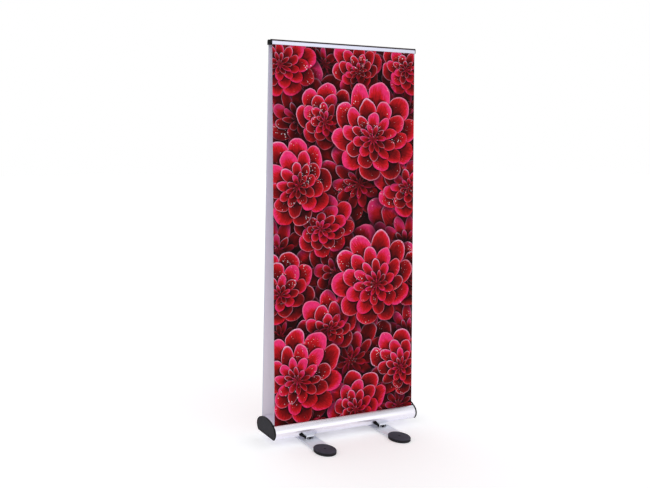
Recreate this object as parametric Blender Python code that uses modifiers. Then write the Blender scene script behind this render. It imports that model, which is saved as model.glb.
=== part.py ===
"""Outdoor roll-up banner stand, double sided, with a mast that gives in the wind.

Units are metres, +Z is up, X runs along the width of the graphic and -Y is the front.
The origin is on the floor under the middle of the stand.
"""
from math import acos, asin, atan2, cos, degrees, pi, radians, sin, sqrt

import bmesh
import bpy
from mathutils import Matrix, Vector

# Driving dimensions of the whole stand
GRAPHIC_WIDTH = 0.850
GRAPHIC_THICKNESS = 0.0008
STAND_HEIGHT = 2.096
CASSETTE_LENGTH = 0.880
GAP = 0.0003
OVERRUN = 0.010

# Cassette: two half ellipses that meet at the waist, over a flat underside
UNDERSIDE_Z = 0.037
WAIST_Z = 0.071
HALF_DEPTH = 0.118
UPPER_RISE = 0.058
LOWER_DROP = 0.063
WALL = 0.003
SLOT_INNER_Y = 0.0790
SLOT_OUTER_Y = 0.0895
WEB_Y = 0.030
PORT_BLOCK = 0.009
PORT_RADIUS = 0.0023
PORT_Y = WEB_Y + PORT_BLOCK / 2
PORT_Z = UNDERSIDE_Z + WALL + PORT_BLOCK / 2

# End caps
CAP_THICKNESS = 0.008
CAP_MARGIN = 0.0015
CAP_RIM = 0.006
CAP_RECESS = 0.001
CAP_INNER_X = CASSETTE_LENGTH / 2 - CAP_THICKNESS
CAP_SEAT_X = CASSETTE_LENGTH / 2 - 0.004
CAP_NOTCH_WIDTH = 0.006
CAP_NOTCH_Z = 0.1070
CAP_SCREW_LENGTH = 0.016
SCREW_HEAD_RADIUS = 0.0042

# Mast hinge inside the cassette
PIVOT_Z = 0.105
PIN_RADIUS = 0.006
BORE_RADIUS = PIN_RADIUS + GAP
RING_THICKNESS = 0.0012
CHEEK_X = 0.058
CHEEK_THICKNESS = 0.005
SOCKET_RADIUS = 0.017
SOCKET_BASE_Z = 0.086
SOCKET_TOP_Z = 0.165
SOCKET_CUP_Z = 0.118

# Mast tubes, plugged into each other
MAST_RADIUS = 0.014
MAST_WALL = 0.0016
SPIGOT_LENGTH = 0.060
LOWER_JOINT_Z = 0.780
UPPER_JOINT_Z = 1.420
MAST_TOP_Z = 2.064
HEAD_DEPTH = 0.045
HEAD_FLANGE_RADIUS = 0.0185

# Top rail
RAIL_HEIGHT = 0.026
RAIL_BOTTOM_Z = STAND_HEIGHT - RAIL_HEIGHT
RAIL_HALF_LENGTH = GRAPHIC_WIDTH / 2 + 0.0005
RAIL_CAP_THICKNESS = 0.004
BEAD_Y = 0.0205
BEAD_Z = RAIL_BOTTOM_Z + 0.0165
BEAD_RADIUS = 0.0022
CHANNEL_RADIUS = BEAD_RADIUS + GAP
NECK = 0.0016
CLAMP_INNER_Y = 0.0240
CLAMP_OUTER_Y = 0.0265

# Graphics: they leave the slots and lean in to the rail
GRAPHIC_TOP_Y = 0.0225
GRAPHIC_TOP_Z = RAIL_BOTTOM_Z + 0.0125
GRAPHIC_SLOT_Y = 0.0815
GRAPHIC_TAIL_Z = 0.074

# Rollers
ROLLER_Y = 0.052
ROLLER_Z = 0.068
TUBE_RADIUS = 0.016
TUBE_WALL = 0.0015
WOUND_RADIUS = 0.019
SPINDLE_RADIUS = 0.004
SPINDLE_END_X = -0.215
PLUG_RADIUS = 0.0178
PLUG_FLANGE = 0.0025
PLUG_DEPTH = 0.015
STUB_RADIUS = 0.0047
BLIND_DEPTH = 0.005

# Feet
FRONT_FOOT_X = 0.226
BACK_FOOT_X = 0.123
FOOT_REACH = 0.273
BAR_WIDTH = 0.098
BAR_BOTTOM_Z = 0.0065
BAR_THICKNESS = 0.007
BAR_TOP_Z = BAR_BOTTOM_Z + BAR_THICKNESS
BAR_INNER_Y = 0.012
PAD_HALF_WIDTH = 0.0555
PAD_HALF_LENGTH = 0.0755
PAD_HEIGHT = 0.019
PAD_GRIP = 0.016
PAD_SCREW_RADIUS = 0.003
PAD_SCREW_HEAD = 0.005
PAD_SCREW_SEAT_Z = PAD_HEIGHT - 0.0035
SLEEVE_INNER_Y = 0.001
SLEEVE_OUTER_Y = 0.030

# Hoods over the bars, and the catches in them; outlines are x, z from a hood's middle or y, z
HOOD_BACK_Y = 0.0870
HOOD_HALF = 0.0235
HOOD_SHEET = 0.0022
HOOD_FRONT_Y = 0.1057
HOOD_SHOULDER_Y = 0.1025
HOOD_LIP_Z = 0.0265
HOOD_WALL_Y = 0.0952
PLATE_OUTLINE = ((-HOOD_HALF, 0.0300), (HOOD_HALF, 0.0300), (HOOD_HALF, 0.0500), (-0.0545, 0.0615))
BLOCK_BASE_Z = 0.0205
TONGUE_HALF = 0.006
TONGUE_FRONT_Y = 0.1077
TONGUE_BASE_Z = 0.0155
ARM_END = 0.032
LEVER_OUTLINE = ((-0.0240, 0.0165), (-0.0240, 0.0296), (-0.0570, 0.0625), (-0.0700, 0.0545),
                 (-0.0700, 0.0460), (-0.0530, 0.0340), (-0.0290, 0.0165))
LEVER_SECTION = ((0.0876, 0.0150), (0.1032, 0.0150), (0.1052, 0.0300), (0.1115, 0.0400), (0.1170, 0.0500),
                 (0.1204, 0.0580), (0.1204, 0.0635), (0.0970, 0.0635), (0.0970, 0.0360), (0.0876, 0.0360))

COLOURS = {
    "anodised": ((0.78, 0.78, 0.82), 0.32, 0.9),
    "dark_anodised": ((0.20, 0.17, 0.17), 0.45, 0.6),
    "steel": ((0.55, 0.56, 0.58), 0.35, 1.0),
    "black_plastic": ((0.04, 0.04, 0.045), 0.55, 0.0),
    "rubber": ((0.05, 0.047, 0.058), 0.8, 0.0),
    "printed_film": ((0.35, 0.01, 0.02), 0.45, 0.0),
}

model = None
cutters = None


def start_scene():
    global model, cutters
    for item in list(bpy.data.objects):
        bpy.data.objects.remove(item, do_unlink=True)
    model = bpy.data.collections.new("banner_stand")
    cutters = bpy.data.collections.new("cutters")
    bpy.context.scene.collection.children.link(model)
    bpy.context.scene.collection.children.link(cutters)


def finish_colour(item, finish):
    """Gives a piece its own material in one of the stand's finishes."""
    colour, roughness, metallic = COLOURS[finish]
    skin = bpy.data.materials.new(item.name + "_finish")
    skin.use_nodes = True
    shader = skin.node_tree.nodes["Principled BSDF"]
    shader.inputs["Base Color"].default_value = (*colour, 1.0)
    shader.inputs["Roughness"].default_value = roughness
    shader.inputs["Metallic"].default_value = metallic
    item.data.materials.clear()
    item.data.materials.append(skin)


def stand_place(empty):
    """Where a joint's empty is in the stand's frame; the empties are never turned."""
    here = empty.location.copy()
    while empty.parent:
        empty = empty.parent
        here += empty.location
    return here


def place(name, mesh, finish, parent=None, location=(0, 0, 0)):
    """Puts a mesh in the model; its location is in the stand's frame, whatever carries it."""
    item = bpy.data.objects.new(name, mesh)
    model.objects.link(item)
    item.location = location
    if parent:
        item.parent = parent
        item.location = Vector(location) - stand_place(parent)
    finish_colour(item, finish)
    return item


def place_on(axis, name, mesh, finish):
    """Puts a mesh made in the stand's frame on a joint's empty, with its origin on the joint's axis."""
    here = stand_place(axis)
    mesh.transform(Matrix.Translation(-here))
    return place(name, mesh, finish, axis, here)


def make_cutter(name, mesh):
    item = bpy.data.objects.new(name, mesh)
    cutters.objects.link(item)
    item.hide_render = True
    item.display_type = "WIRE"
    return item


def combine(item, other, operation):
    step = item.modifiers.new("with_" + other.name, "BOOLEAN")
    step.operation = operation
    step.solver = "EXACT"
    step.object = other


def cut(item, cutter):
    combine(item, cutter, "DIFFERENCE")


def join(item, other):
    combine(item, other, "UNION")


def round_edges(item, width):
    step = item.modifiers.new("rounded_edges", "BEVEL")
    step.width = width
    step.segments = 1
    step.limit_method = "ANGLE"
    step.angle_limit = radians(40)


def pivot_at(name, location, parent=None):
    """An empty on a joint's axis, which the moving pieces hang from."""
    empty = bpy.data.objects.new(name, None)
    model.objects.link(empty)
    empty.empty_display_size = 0.05
    empty.location = location
    if parent:
        empty.parent = parent
        empty.location = Vector(location) - stand_place(parent)
    return empty


def box_mesh(name, low, high):
    """A box between two corners, given in the stand's frame."""
    low = Vector(low)
    size = Vector(high) - low
    shape = bmesh.new()
    bmesh.ops.create_cube(shape, size=1.0)
    bmesh.ops.scale(shape, vec=size, verts=shape.verts)
    bmesh.ops.translate(shape, vec=low + size / 2, verts=shape.verts)
    mesh = bpy.data.meshes.new(name)
    shape.to_mesh(mesh)
    shape.free()
    return mesh


def rod_mesh(name, start, end, radius, sides=24):
    """A round rod between two points."""
    start = Vector(start)
    run = Vector(end) - start
    turn = run.to_track_quat("Z", "Y").to_matrix().to_4x4()
    shape = bmesh.new()
    bmesh.ops.create_cone(shape, cap_ends=True, segments=sides, radius1=radius, radius2=radius,
                          depth=run.length, matrix=Matrix.Translation(start + run / 2) @ turn)
    mesh = bpy.data.meshes.new(name)
    shape.to_mesh(mesh)
    shape.free()
    for face in mesh.polygons:
        face.use_smooth = len(face.vertices) == 4
    return mesh


def curve_to_mesh(name, curve):
    """The closed mesh of a curve, with its caps welded on."""
    guide = bpy.data.objects.new(name + "_guide", curve)
    bpy.context.scene.collection.objects.link(guide)
    graph = bpy.context.evaluated_depsgraph_get()
    mesh = bpy.data.meshes.new_from_object(guide.evaluated_get(graph))
    mesh.name = name
    bpy.data.objects.remove(guide, do_unlink=True)
    shape = bmesh.new()
    shape.from_mesh(mesh)
    bmesh.ops.remove_doubles(shape, verts=shape.verts, dist=0.00001)
    bmesh.ops.recalc_face_normals(shape, faces=shape.faces)
    shape.to_mesh(mesh)
    shape.free()
    return mesh


def section_mesh(name, loops, start, end, axis="X"):
    """Loops of a flat section, drawn out along X (points are y, z) or along Y (points are x, z)."""
    curve = bpy.data.curves.new(name + "_outline", "CURVE")
    curve.dimensions = "2D"
    curve.fill_mode = "BOTH"
    curve.extrude = (end - start) / 2
    for loop in loops:
        spline = curve.splines.new("POLY")
        spline.points.add(len(loop) - 1)
        for point, (across, height) in zip(spline.points, loop):
            point.co = (across, height, 0, 1)
        spline.use_cyclic_u = True
    mesh = curve_to_mesh(name, curve)
    middle = (start + end) / 2
    upright = Matrix.Rotation(radians(90), 4, "X")
    if axis == "X":
        mesh.transform(Matrix.Translation((middle, 0, 0)) @ Matrix.Rotation(radians(90), 4, "Z") @ upright)
    else:
        mesh.transform(Matrix.Translation((0, middle, 0)) @ upright)
    return mesh


def turned(name, profile, finish, centre, axis="Z", parent=None, sides=24):
    """A lathe-turned piece: the profile's points are radius and place along the axis."""
    mesh = bpy.data.meshes.new(name)
    points = [(radius, 0, along) for radius, along in profile]
    closed = profile[0][0] > 0 and profile[-1][0] > 0
    edges = [(i, i + 1) for i in range(len(points) - 1)]
    if closed:
        edges.append((len(points) - 1, 0))
    mesh.from_pydata(points, edges, [])
    item = place(name, mesh, finish, parent, centre)
    if axis == "X":
        item.rotation_euler = (0, radians(90), 0)
    lathe = item.modifiers.new("lathe", "SCREW")
    lathe.steps = sides
    lathe.render_steps = sides
    lathe.use_merge_vertices = True
    lathe.merge_threshold = 0.00001
    lathe.use_smooth_shade = False
    return item


def arc(centre, radius, first, last, steps):
    """Points on an arc, with its angles in degrees."""
    turn = [radians(first + (last - first) * i / steps) for i in range(steps + 1)]
    return [(centre[0] + radius * cos(a), centre[1] + radius * sin(a)) for a in turn]


def rectangle(middle, half, low, high):
    return [(middle - half, low), (middle + half, low), (middle + half, high), (middle - half, high)]


def oval_arc(depth, rise, first_y, last_y, steps):
    """Points on the half ellipse at the waist, from one y to another; a negative rise hangs down."""
    first = acos(first_y / depth)
    last = acos(last_y / depth)
    turn = [first + (last - first) * i / steps for i in range(steps + 1)]
    return [(depth * cos(a), WAIST_Z + rise * sin(a)) for a in turn]


def floor_y(depth, drop, height):
    """How far out the lower ellipse is where it meets a flat floor."""
    return depth * sqrt(1 - ((WAIST_Z - height) / drop) ** 2)


def mirrored(half):
    """Closes a half section, drawn from top centre to bottom centre, with its mirror image."""
    other = [(-y, z) for y, z in reversed(half) if y > GAP]
    return half + other


def cassette_loops():
    inner_depth = HALF_DEPTH - WALL
    inner_rise = UPPER_RISE - WALL
    inner_drop = LOWER_DROP - WALL
    floor = UNDERSIDE_Z + WALL
    half = oval_arc(HALF_DEPTH, UPPER_RISE, 0, SLOT_INNER_Y, 7)
    half += oval_arc(inner_depth, inner_rise, SLOT_INNER_Y, WEB_Y, 5)
    block_y = WEB_Y + PORT_BLOCK
    half += [(WEB_Y, floor + PORT_BLOCK), (block_y, floor + PORT_BLOCK), (block_y, floor)]
    half += oval_arc(inner_depth, -inner_drop, floor_y(inner_depth, inner_drop, floor), inner_depth, 4)
    half += oval_arc(inner_depth, inner_rise, inner_depth, SLOT_OUTER_Y, 5)[1:]
    half += oval_arc(HALF_DEPTH, UPPER_RISE, SLOT_OUTER_Y, HALF_DEPTH, 5)
    low_y = floor_y(HALF_DEPTH, LOWER_DROP, UNDERSIDE_Z)
    half += oval_arc(HALF_DEPTH, -LOWER_DROP, HALF_DEPTH, low_y, 5)[1:]
    cell_y = WEB_Y - WALL
    cell = oval_arc(inner_depth, inner_rise, 0, cell_y, 2) + [(cell_y, floor)]
    loops = [mirrored(half), mirrored(cell)]
    for side in (-1, 1):
        loops.append(arc((side * PORT_Y, PORT_Z), PORT_RADIUS, 0, 330, 11))
    return loops


def outer_loop(margin):
    """The cassette's outer outline, grown by a margin."""
    depth = HALF_DEPTH + margin
    low = UNDERSIDE_Z - margin
    drop = LOWER_DROP + margin
    half = oval_arc(depth, UPPER_RISE + margin, 0, depth, 12)
    half += oval_arc(depth, -drop, depth, floor_y(depth, drop, low), 5)[1:]
    return mirrored(half)


def make_cassette():
    mesh = section_mesh("cassette_housing", cassette_loops(), -CAP_INNER_X + GAP, CAP_INNER_X - GAP)
    housing = place("cassette_housing", mesh, "anodised")
    room = SOCKET_RADIUS + 0.003
    swing = WEB_Y - WALL - 0.0005
    top = WAIST_Z + UPPER_RISE + OVERRUN
    mouth = box_mesh("mast_mouth", (-room, -swing, PIVOT_Z), (room, swing, top))
    cut(housing, make_cutter("mast_mouth", mouth))


def make_end_cap(side, name):
    """An end cap with a shallow field inside its rim, notches for the slots and bearing holes."""
    inner = CAP_INNER_X
    outer = CASSETTE_LENGTH / 2
    past = outer + OVERRUN
    mesh = section_mesh(name, [outer_loop(CAP_MARGIN)], inner, outer)
    field = section_mesh(name + "_field", [outer_loop(CAP_MARGIN - CAP_RIM)], outer - CAP_RECESS, past)
    if side < 0:
        for shape in (mesh, field):
            shape.transform(Matrix.Rotation(pi, 4, "Z"))
    cap = place(name, mesh, "black_plastic")
    round_edges(cap, 0.0012)
    cut(cap, make_cutter(name + "_field", field))
    for sign in (-1, 1):
        word = "%s_%s" % (name, "front" if sign < 0 else "back")
        slot = sign * (SLOT_INNER_Y + SLOT_OUTER_Y) / 2
        half = CAP_NOTCH_WIDTH / 2
        notch = box_mesh(word + "_notch", (-past, slot - half, CAP_NOTCH_Z),
                         (past, slot + half, STAND_HEIGHT))
        cut(cap, make_cutter(word + "_notch", notch))
        bore = SPINDLE_RADIUS if side < 0 else STUB_RADIUS
        bearing = rod_mesh(word + "_bearing", (side * (inner - OVERRUN), sign * ROLLER_Y, ROLLER_Z),
                           (side * (inner + BLIND_DEPTH), sign * ROLLER_Y, ROLLER_Z), bore + GAP)
        cut(cap, make_cutter(word + "_bearing", bearing))
        port_y = sign * PORT_Y
        hole = rod_mesh(word + "_hole", (side * (inner - OVERRUN), port_y, PORT_Z),
                        (side * past, port_y, PORT_Z), PORT_RADIUS, 16)
        cut(cap, make_cutter(word + "_hole", hole))
        sink = rod_mesh(word + "_sink", (side * CAP_SEAT_X, port_y, PORT_Z), (side * past, port_y, PORT_Z),
                        SCREW_HEAD_RADIUS + 0.0004, 24)
        cut(cap, make_cutter(word + "_sink", sink))


def make_cap_screw(side, sign, name):
    """A pan-head screw that holds an end cap to the extrusion's screw port."""
    head = SCREW_HEAD_RADIUS
    shank = PORT_RADIUS - GAP
    profile = [(0, 0.0022), (head - 0.0012, 0.0022), (head, 0.0012), (head, 0), (shank, 0),
               (shank, -CAP_SCREW_LENGTH), (0, -CAP_SCREW_LENGTH)]
    centre = (side * (CAP_SEAT_X + GAP), sign * PORT_Y, PORT_Z)
    screw = turned(name, profile, "steel", centre, "X", sides=16)
    if side < 0:
        screw.rotation_euler = (0, radians(-90), 0)


def make_yoke():
    """The steel fork on the cassette's floor that carries the hinge pin."""
    low = UNDERSIDE_Z + WALL + GAP
    outer = CHEEK_X + CHEEK_THICKNESS
    top = PIVOT_Z + 2 * PIN_RADIUS
    half_depth = 0.021
    outline = [(-outer, low), (outer, low), (outer, top), (CHEEK_X, top), (CHEEK_X, low + 0.004),
               (-CHEEK_X, low + 0.004), (-CHEEK_X, top), (-outer, top)]
    mesh = section_mesh("pivot_yoke", [outline], -half_depth, half_depth, "Y")
    yoke = place("pivot_yoke", mesh, "steel")
    past = outer + OVERRUN
    bore = rod_mesh("yoke_bore", (-past, 0, PIVOT_Z), (past, 0, PIVOT_Z), BORE_RADIUS)
    cut(yoke, make_cutter("yoke_bore", bore))


def make_pin():
    """The hinge pin, headed at one end and grooved for its ring at the other."""
    face = CHEEK_X + CHEEK_THICKNESS + GAP
    groove = face + RING_THICKNESS + 2 * GAP
    neck = 0.0048
    head = 0.0088
    end = groove + 0.002
    profile = [(0, end), (PIN_RADIUS - 0.0006, end), (PIN_RADIUS, end - 0.0006), (PIN_RADIUS, groove),
               (neck, groove), (neck, face), (PIN_RADIUS, face), (PIN_RADIUS, -face),
               (head, -face), (head, -face - 0.002), (head - 0.0008, -face - 0.003), (0, -face - 0.003)]
    turned("pivot_pin", profile, "steel", (0, 0, PIVOT_Z), "X")
    ring = [(head, RING_THICKNESS), (head, 0), (neck + GAP, 0), (neck + GAP, RING_THICKNESS)]
    turned("pivot_pin_ring", ring, "steel", (face + GAP, 0, PIVOT_Z), "X")


def tube_along(name, points, radius, finish, location=(0, 0, 0)):
    """A round wire along its points."""
    curve = bpy.data.curves.new(name, "CURVE")
    curve.dimensions = "3D"
    curve.bevel_depth = radius
    curve.bevel_resolution = 1
    curve.use_fill_caps = True
    spline = curve.splines.new("POLY")
    spline.points.add(len(points) - 1)
    for point, place_at in zip(spline.points, points):
        point.co = (*place_at, 1)
    mesh = curve_to_mesh(name, curve)
    return place(name, mesh, finish, None, location)


def make_torsion_spring(side, name):
    """A torsion spring round the pin, with one leg down to the yoke and one up beside the mast."""
    wire = 0.0020
    coil = 0.0113
    pitch = 0.0048
    turns = 5.5
    start_x = 0.0260
    steps = 12
    points = [(side * start_x, -coil, PIVOT_Z + 0.0075)]
    for i in range(int(turns * steps) + 1):
        a = pi + 2 * pi * i / steps
        points.append((side * (start_x + pitch * i / steps), coil * cos(a), PIVOT_Z + coil * sin(a)))
    end = points[-1]
    leg = 0.052
    points += [(end[0], end[1], PIVOT_Z - 0.4 * leg), (end[0], end[1], PIVOT_Z - leg)]
    tube_along(name, points, wire, "steel")


def make_roller_spring(side, name):
    """The long winding spring inside a roller, hooked to the fixed spindle."""
    wire = 0.0011
    coil = 0.0095
    pitch = 0.0125
    turns = 12
    steps = 8
    start = -0.400
    points = [(start - 0.002, SPINDLE_RADIUS + wire + 2 * GAP, 0)]
    for i in range(turns * steps + 1):
        a = 2 * pi * i / steps
        points.append((start + pitch * i / steps, coil * cos(a), coil * sin(a)))
    tube_along(name, points, wire, "steel", (0, side * ROLLER_Y, ROLLER_Z))


def make_spindle(side, name):
    """The fixed spindle of a roller's spring, held in the left end cap."""
    start = (-(CAP_INNER_X + BLIND_DEPTH - GAP), side * ROLLER_Y, ROLLER_Z)
    end = (SPINDLE_END_X, side * ROLLER_Y, ROLLER_Z)
    place(name, rod_mesh(name, start, end, SPINDLE_RADIUS, 16), "steel")


def make_roller(side, word):
    """A spring roller: aluminium tube, two end plugs and the turns of film left on it."""
    centre = (0, side * ROLLER_Y, ROLLER_Z)
    axis = pivot_at(word + "_roller_axis", centre)
    half = GRAPHIC_WIDTH / 2
    bore = TUBE_RADIUS - TUBE_WALL
    tube = [(TUBE_RADIUS, half), (TUBE_RADIUS, -half), (bore, -half), (bore, half)]
    turned(word + "_roller_tube", tube, "anodised", centre, "X", axis)
    body = bore - GAP
    flange = half + GAP
    left = [(body, PLUG_DEPTH), (body, -GAP), (PLUG_RADIUS, -GAP), (PLUG_RADIUS, -GAP - PLUG_FLANGE),
            (SPINDLE_RADIUS + GAP, -GAP - PLUG_FLANGE), (SPINDLE_RADIUS + GAP, PLUG_DEPTH)]
    turned(word + "_roller_left_plug", left, "black_plastic", (-half, side * ROLLER_Y, ROLLER_Z), "X", axis)
    stub = CAP_INNER_X + BLIND_DEPTH - 2 * GAP
    right = [(0, stub), (STUB_RADIUS, stub), (STUB_RADIUS, flange + PLUG_FLANGE),
             (PLUG_RADIUS, flange + PLUG_FLANGE), (PLUG_RADIUS, flange), (body, flange),
             (body, half - PLUG_DEPTH), (0, half - PLUG_DEPTH)]
    turned(word + "_roller_right_plug", right, "black_plastic", centre, "X", axis)
    film = half - 0.001
    core = TUBE_RADIUS + GAP
    wound = [(WOUND_RADIUS, film), (WOUND_RADIUS, -film), (core, -film), (core, film)]
    turned(word + "_wound_film", wound, "printed_film", centre, "X", axis, 28)


def make_mast(axis):
    """The mast: a pivoting socket, three tubes plugged into each other and the head under the rail."""
    cup = MAST_RADIUS + GAP
    profile = [(0, SOCKET_CUP_Z), (cup, SOCKET_CUP_Z), (cup, SOCKET_TOP_Z),
               (SOCKET_RADIUS - 0.001, SOCKET_TOP_Z), (SOCKET_RADIUS, SOCKET_TOP_Z - 0.001),
               (SOCKET_RADIUS, SOCKET_BASE_Z + 0.004), (SOCKET_RADIUS - 0.004, SOCKET_BASE_Z),
               (0, SOCKET_BASE_Z)]
    profile = [(radius, height - PIVOT_Z) for radius, height in profile]
    socket = turned("mast_socket", profile, "black_plastic", (0, 0, PIVOT_Z), "Z", axis)
    reach = 2 * SOCKET_RADIUS
    bore = rod_mesh("socket_bore", (-reach, 0, PIVOT_Z), (reach, 0, PIVOT_Z), BORE_RADIUS)
    cut(socket, make_cutter("socket_bore", bore))
    stretches = (("mast_lower_tube", SOCKET_CUP_Z + GAP, LOWER_JOINT_Z, False),
                 ("mast_middle_tube", LOWER_JOINT_Z + GAP, UPPER_JOINT_Z, True),
                 ("mast_upper_tube", UPPER_JOINT_Z + GAP, MAST_TOP_Z, True))
    for name, low, high, plugged in stretches:
        make_mast_tube(name, low, high, plugged, axis)
    seat = MAST_TOP_Z + GAP - RAIL_BOTTOM_Z
    head = [(0, -GAP), (HEAD_FLANGE_RADIUS, -GAP), (HEAD_FLANGE_RADIUS, -0.003), (SOCKET_RADIUS, -0.003),
            (SOCKET_RADIUS, -HEAD_DEPTH), (cup, -HEAD_DEPTH), (cup, seat), (0, seat)]
    turned("mast_head", head, "black_plastic", (0, 0, RAIL_BOTTOM_Z), "Z", axis)


def make_mast_tube(name, low, high, plugged, axis):
    """A hollow mast tube; a plugged one has a thinner spigot that drops into the tube below."""
    bore = MAST_RADIUS - MAST_WALL
    profile = [(MAST_RADIUS, high), (MAST_RADIUS, low)]
    if plugged:
        spigot = bore - GAP
        profile += [(spigot, low), (spigot, low - SPIGOT_LENGTH), (spigot - MAST_WALL, low - SPIGOT_LENGTH),
                    (spigot - MAST_WALL, low + 0.002), (bore, low + 0.004), (bore, high)]
    else:
        profile += [(bore, low), (bore, high)]
    turned(name, [(r, z - low) for r, z in profile], "anodised", (0, 0, low), "Z", axis)


def rail_core_half():
    top = STAND_HEIGHT
    notch = top - 0.0075
    half = [(0.0035, notch), (0.0085, top - 0.001), (0.0105, top), (0.0180, top), (0.0200, top - 0.001),
            (BEAD_Y, top - 0.003)]
    half += arc((BEAD_Y, BEAD_Z), CHANNEL_RADIUS, 90, 325, 12)
    lip = half[-1]
    half += [(lip[0], lip[1] - 0.0012), (0.0215, lip[1] - 0.0022), (0.0215, RAIL_BOTTOM_Z + 0.001),
             (0.0205, RAIL_BOTTOM_Z)]
    return half


def make_rail_core(axis):
    chamber_low = RAIL_BOTTOM_Z + 0.0025
    chamber_high = RAIL_BOTTOM_Z + 0.0155
    chamber = [(0.0140, chamber_high), (0.0160, chamber_high - 0.003), (0.0180, chamber_high - 0.006),
               (0.0180, chamber_low)]
    loops = [mirrored(rail_core_half()), mirrored(chamber)]
    mesh = section_mesh("top_rail_core", loops, -RAIL_HALF_LENGTH, RAIL_HALF_LENGTH)
    place_on(axis, "top_rail_core", mesh, "dark_anodised")


def make_rail_clamp(side, name, axis):
    """A clamp strip of the top rail: its bead turns in the core's channel."""
    neck_angle = degrees(asin(NECK / 2 / BEAD_RADIUS))
    low = RAIL_BOTTOM_Z
    outline = [(CLAMP_OUTER_Y - 0.0008, low), (CLAMP_OUTER_Y, low + 0.0008), (CLAMP_OUTER_Y, BEAD_Z),
               (CLAMP_OUTER_Y - 0.0008, BEAD_Z + NECK / 2), (CLAMP_INNER_Y, BEAD_Z + NECK / 2)]
    outline += arc((BEAD_Y, BEAD_Z), BEAD_RADIUS, neck_angle, 360 - neck_angle, 14)
    outline += [(CLAMP_INNER_Y, BEAD_Z - NECK / 2), (CLAMP_INNER_Y, low)]
    outline = [(side * y, z) for y, z in outline]
    mesh = section_mesh(name, [outline], -RAIL_HALF_LENGTH, RAIL_HALF_LENGTH)
    hinge = pivot_at(name + "_axis", (0, side * BEAD_Y, BEAD_Z), axis)
    place_on(hinge, name, mesh, "anodised")


def make_rail_cap(side, name, axis):
    top = STAND_HEIGHT
    side_y = CLAMP_OUTER_Y + 0.0004
    half = [(0.0030, top - 0.0085), (0.0080, top - 0.0015), (0.0105, top), (0.0190, top),
            (0.0235, top - 0.0015), (0.0262, top - 0.0045), (side_y, top - 0.008),
            (side_y, RAIL_BOTTOM_Z + 0.001), (side_y - 0.001, RAIL_BOTTOM_Z)]
    start = side * (RAIL_HALF_LENGTH + GAP)
    end = side * (RAIL_HALF_LENGTH + GAP + RAIL_CAP_THICKNESS)
    mesh = section_mesh(name, [mirrored(half)], min(start, end), max(start, end))
    cap = place_on(axis, name, mesh, "black_plastic")
    round_edges(cap, 0.0006)


def graphic_lean():
    """The graphic's lean from the vertical, and its length from the tail to the clamp."""
    drop = GRAPHIC_TOP_Z - PIVOT_Z
    lean = atan2(GRAPHIC_SLOT_Y - GRAPHIC_TOP_Y, drop)
    return lean, (GRAPHIC_TOP_Z - GRAPHIC_TAIL_Z) / cos(lean)


def make_graphic(side, name, axis):
    """A printed film, straight from the rail down through its slot."""
    lean, length = graphic_lean()
    half = Vector((GRAPHIC_WIDTH, GRAPHIC_THICKNESS, length)) / 2
    mesh = box_mesh(name, -half, half)
    mesh.transform(Matrix.Rotation(side * lean, 4, "X"))
    middle_z = (GRAPHIC_TOP_Z + GRAPHIC_TAIL_Z) / 2
    middle_y = GRAPHIC_TOP_Y + (GRAPHIC_TOP_Z - middle_z) * sin(lean) / cos(lean)
    mesh.transform(Matrix.Translation((0, side * middle_y, middle_z)))
    place_on(axis, name, mesh, "printed_film")


def make_foot(word, side_x, side_y, foot_x):
    """A foot that pulls out from under the cassette: flat bar, oval rubber pad and its screw."""
    x = side_x * foot_x
    pad_y = side_y * FOOT_REACH
    slide = pivot_at(word + "_slide", (x, pad_y, 0))
    ends = sorted((side_y * BAR_INNER_Y, side_y * (FOOT_REACH + PAD_GRIP)))
    half = BAR_WIDTH / 2
    mesh = box_mesh(word + "_bar", (x - half, ends[0], BAR_BOTTOM_Z), (x + half, ends[1], BAR_TOP_Z))
    bar = place_on(slide, word + "_bar", mesh, "anodised")
    round_edges(bar, 0.001)
    past = BAR_TOP_Z + OVERRUN
    bore = rod_mesh(word + "_bore", (x, pad_y, 0), (x, pad_y, past), PAD_SCREW_RADIUS + GAP, 16)
    cut(bar, make_cutter(word + "_bore", bore))
    make_pad(word, x, pad_y, side_y, slide)


def oval_mesh(name, profile, half_x, half_y, sides):
    """A solid with oval levels: the profile's points are the inset from the rim and the height."""
    corners = []
    faces = []
    for inset, height in profile:
        for step in range(sides):
            angle = 2 * pi * step / sides
            corners.append(((half_x - inset) * cos(angle), (half_y - inset) * sin(angle), height))
    for level in range(len(profile) - 1):
        for step in range(sides):
            here = level * sides + step
            beside = level * sides + (step + 1) % sides
            faces.append((here, beside, beside + sides, here + sides))
    faces.append(tuple(reversed(range(sides))))
    faces.append(tuple(range(len(corners) - sides, len(corners))))
    mesh = bpy.data.meshes.new(name)
    mesh.from_pydata(corners, [], faces)
    return mesh


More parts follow.
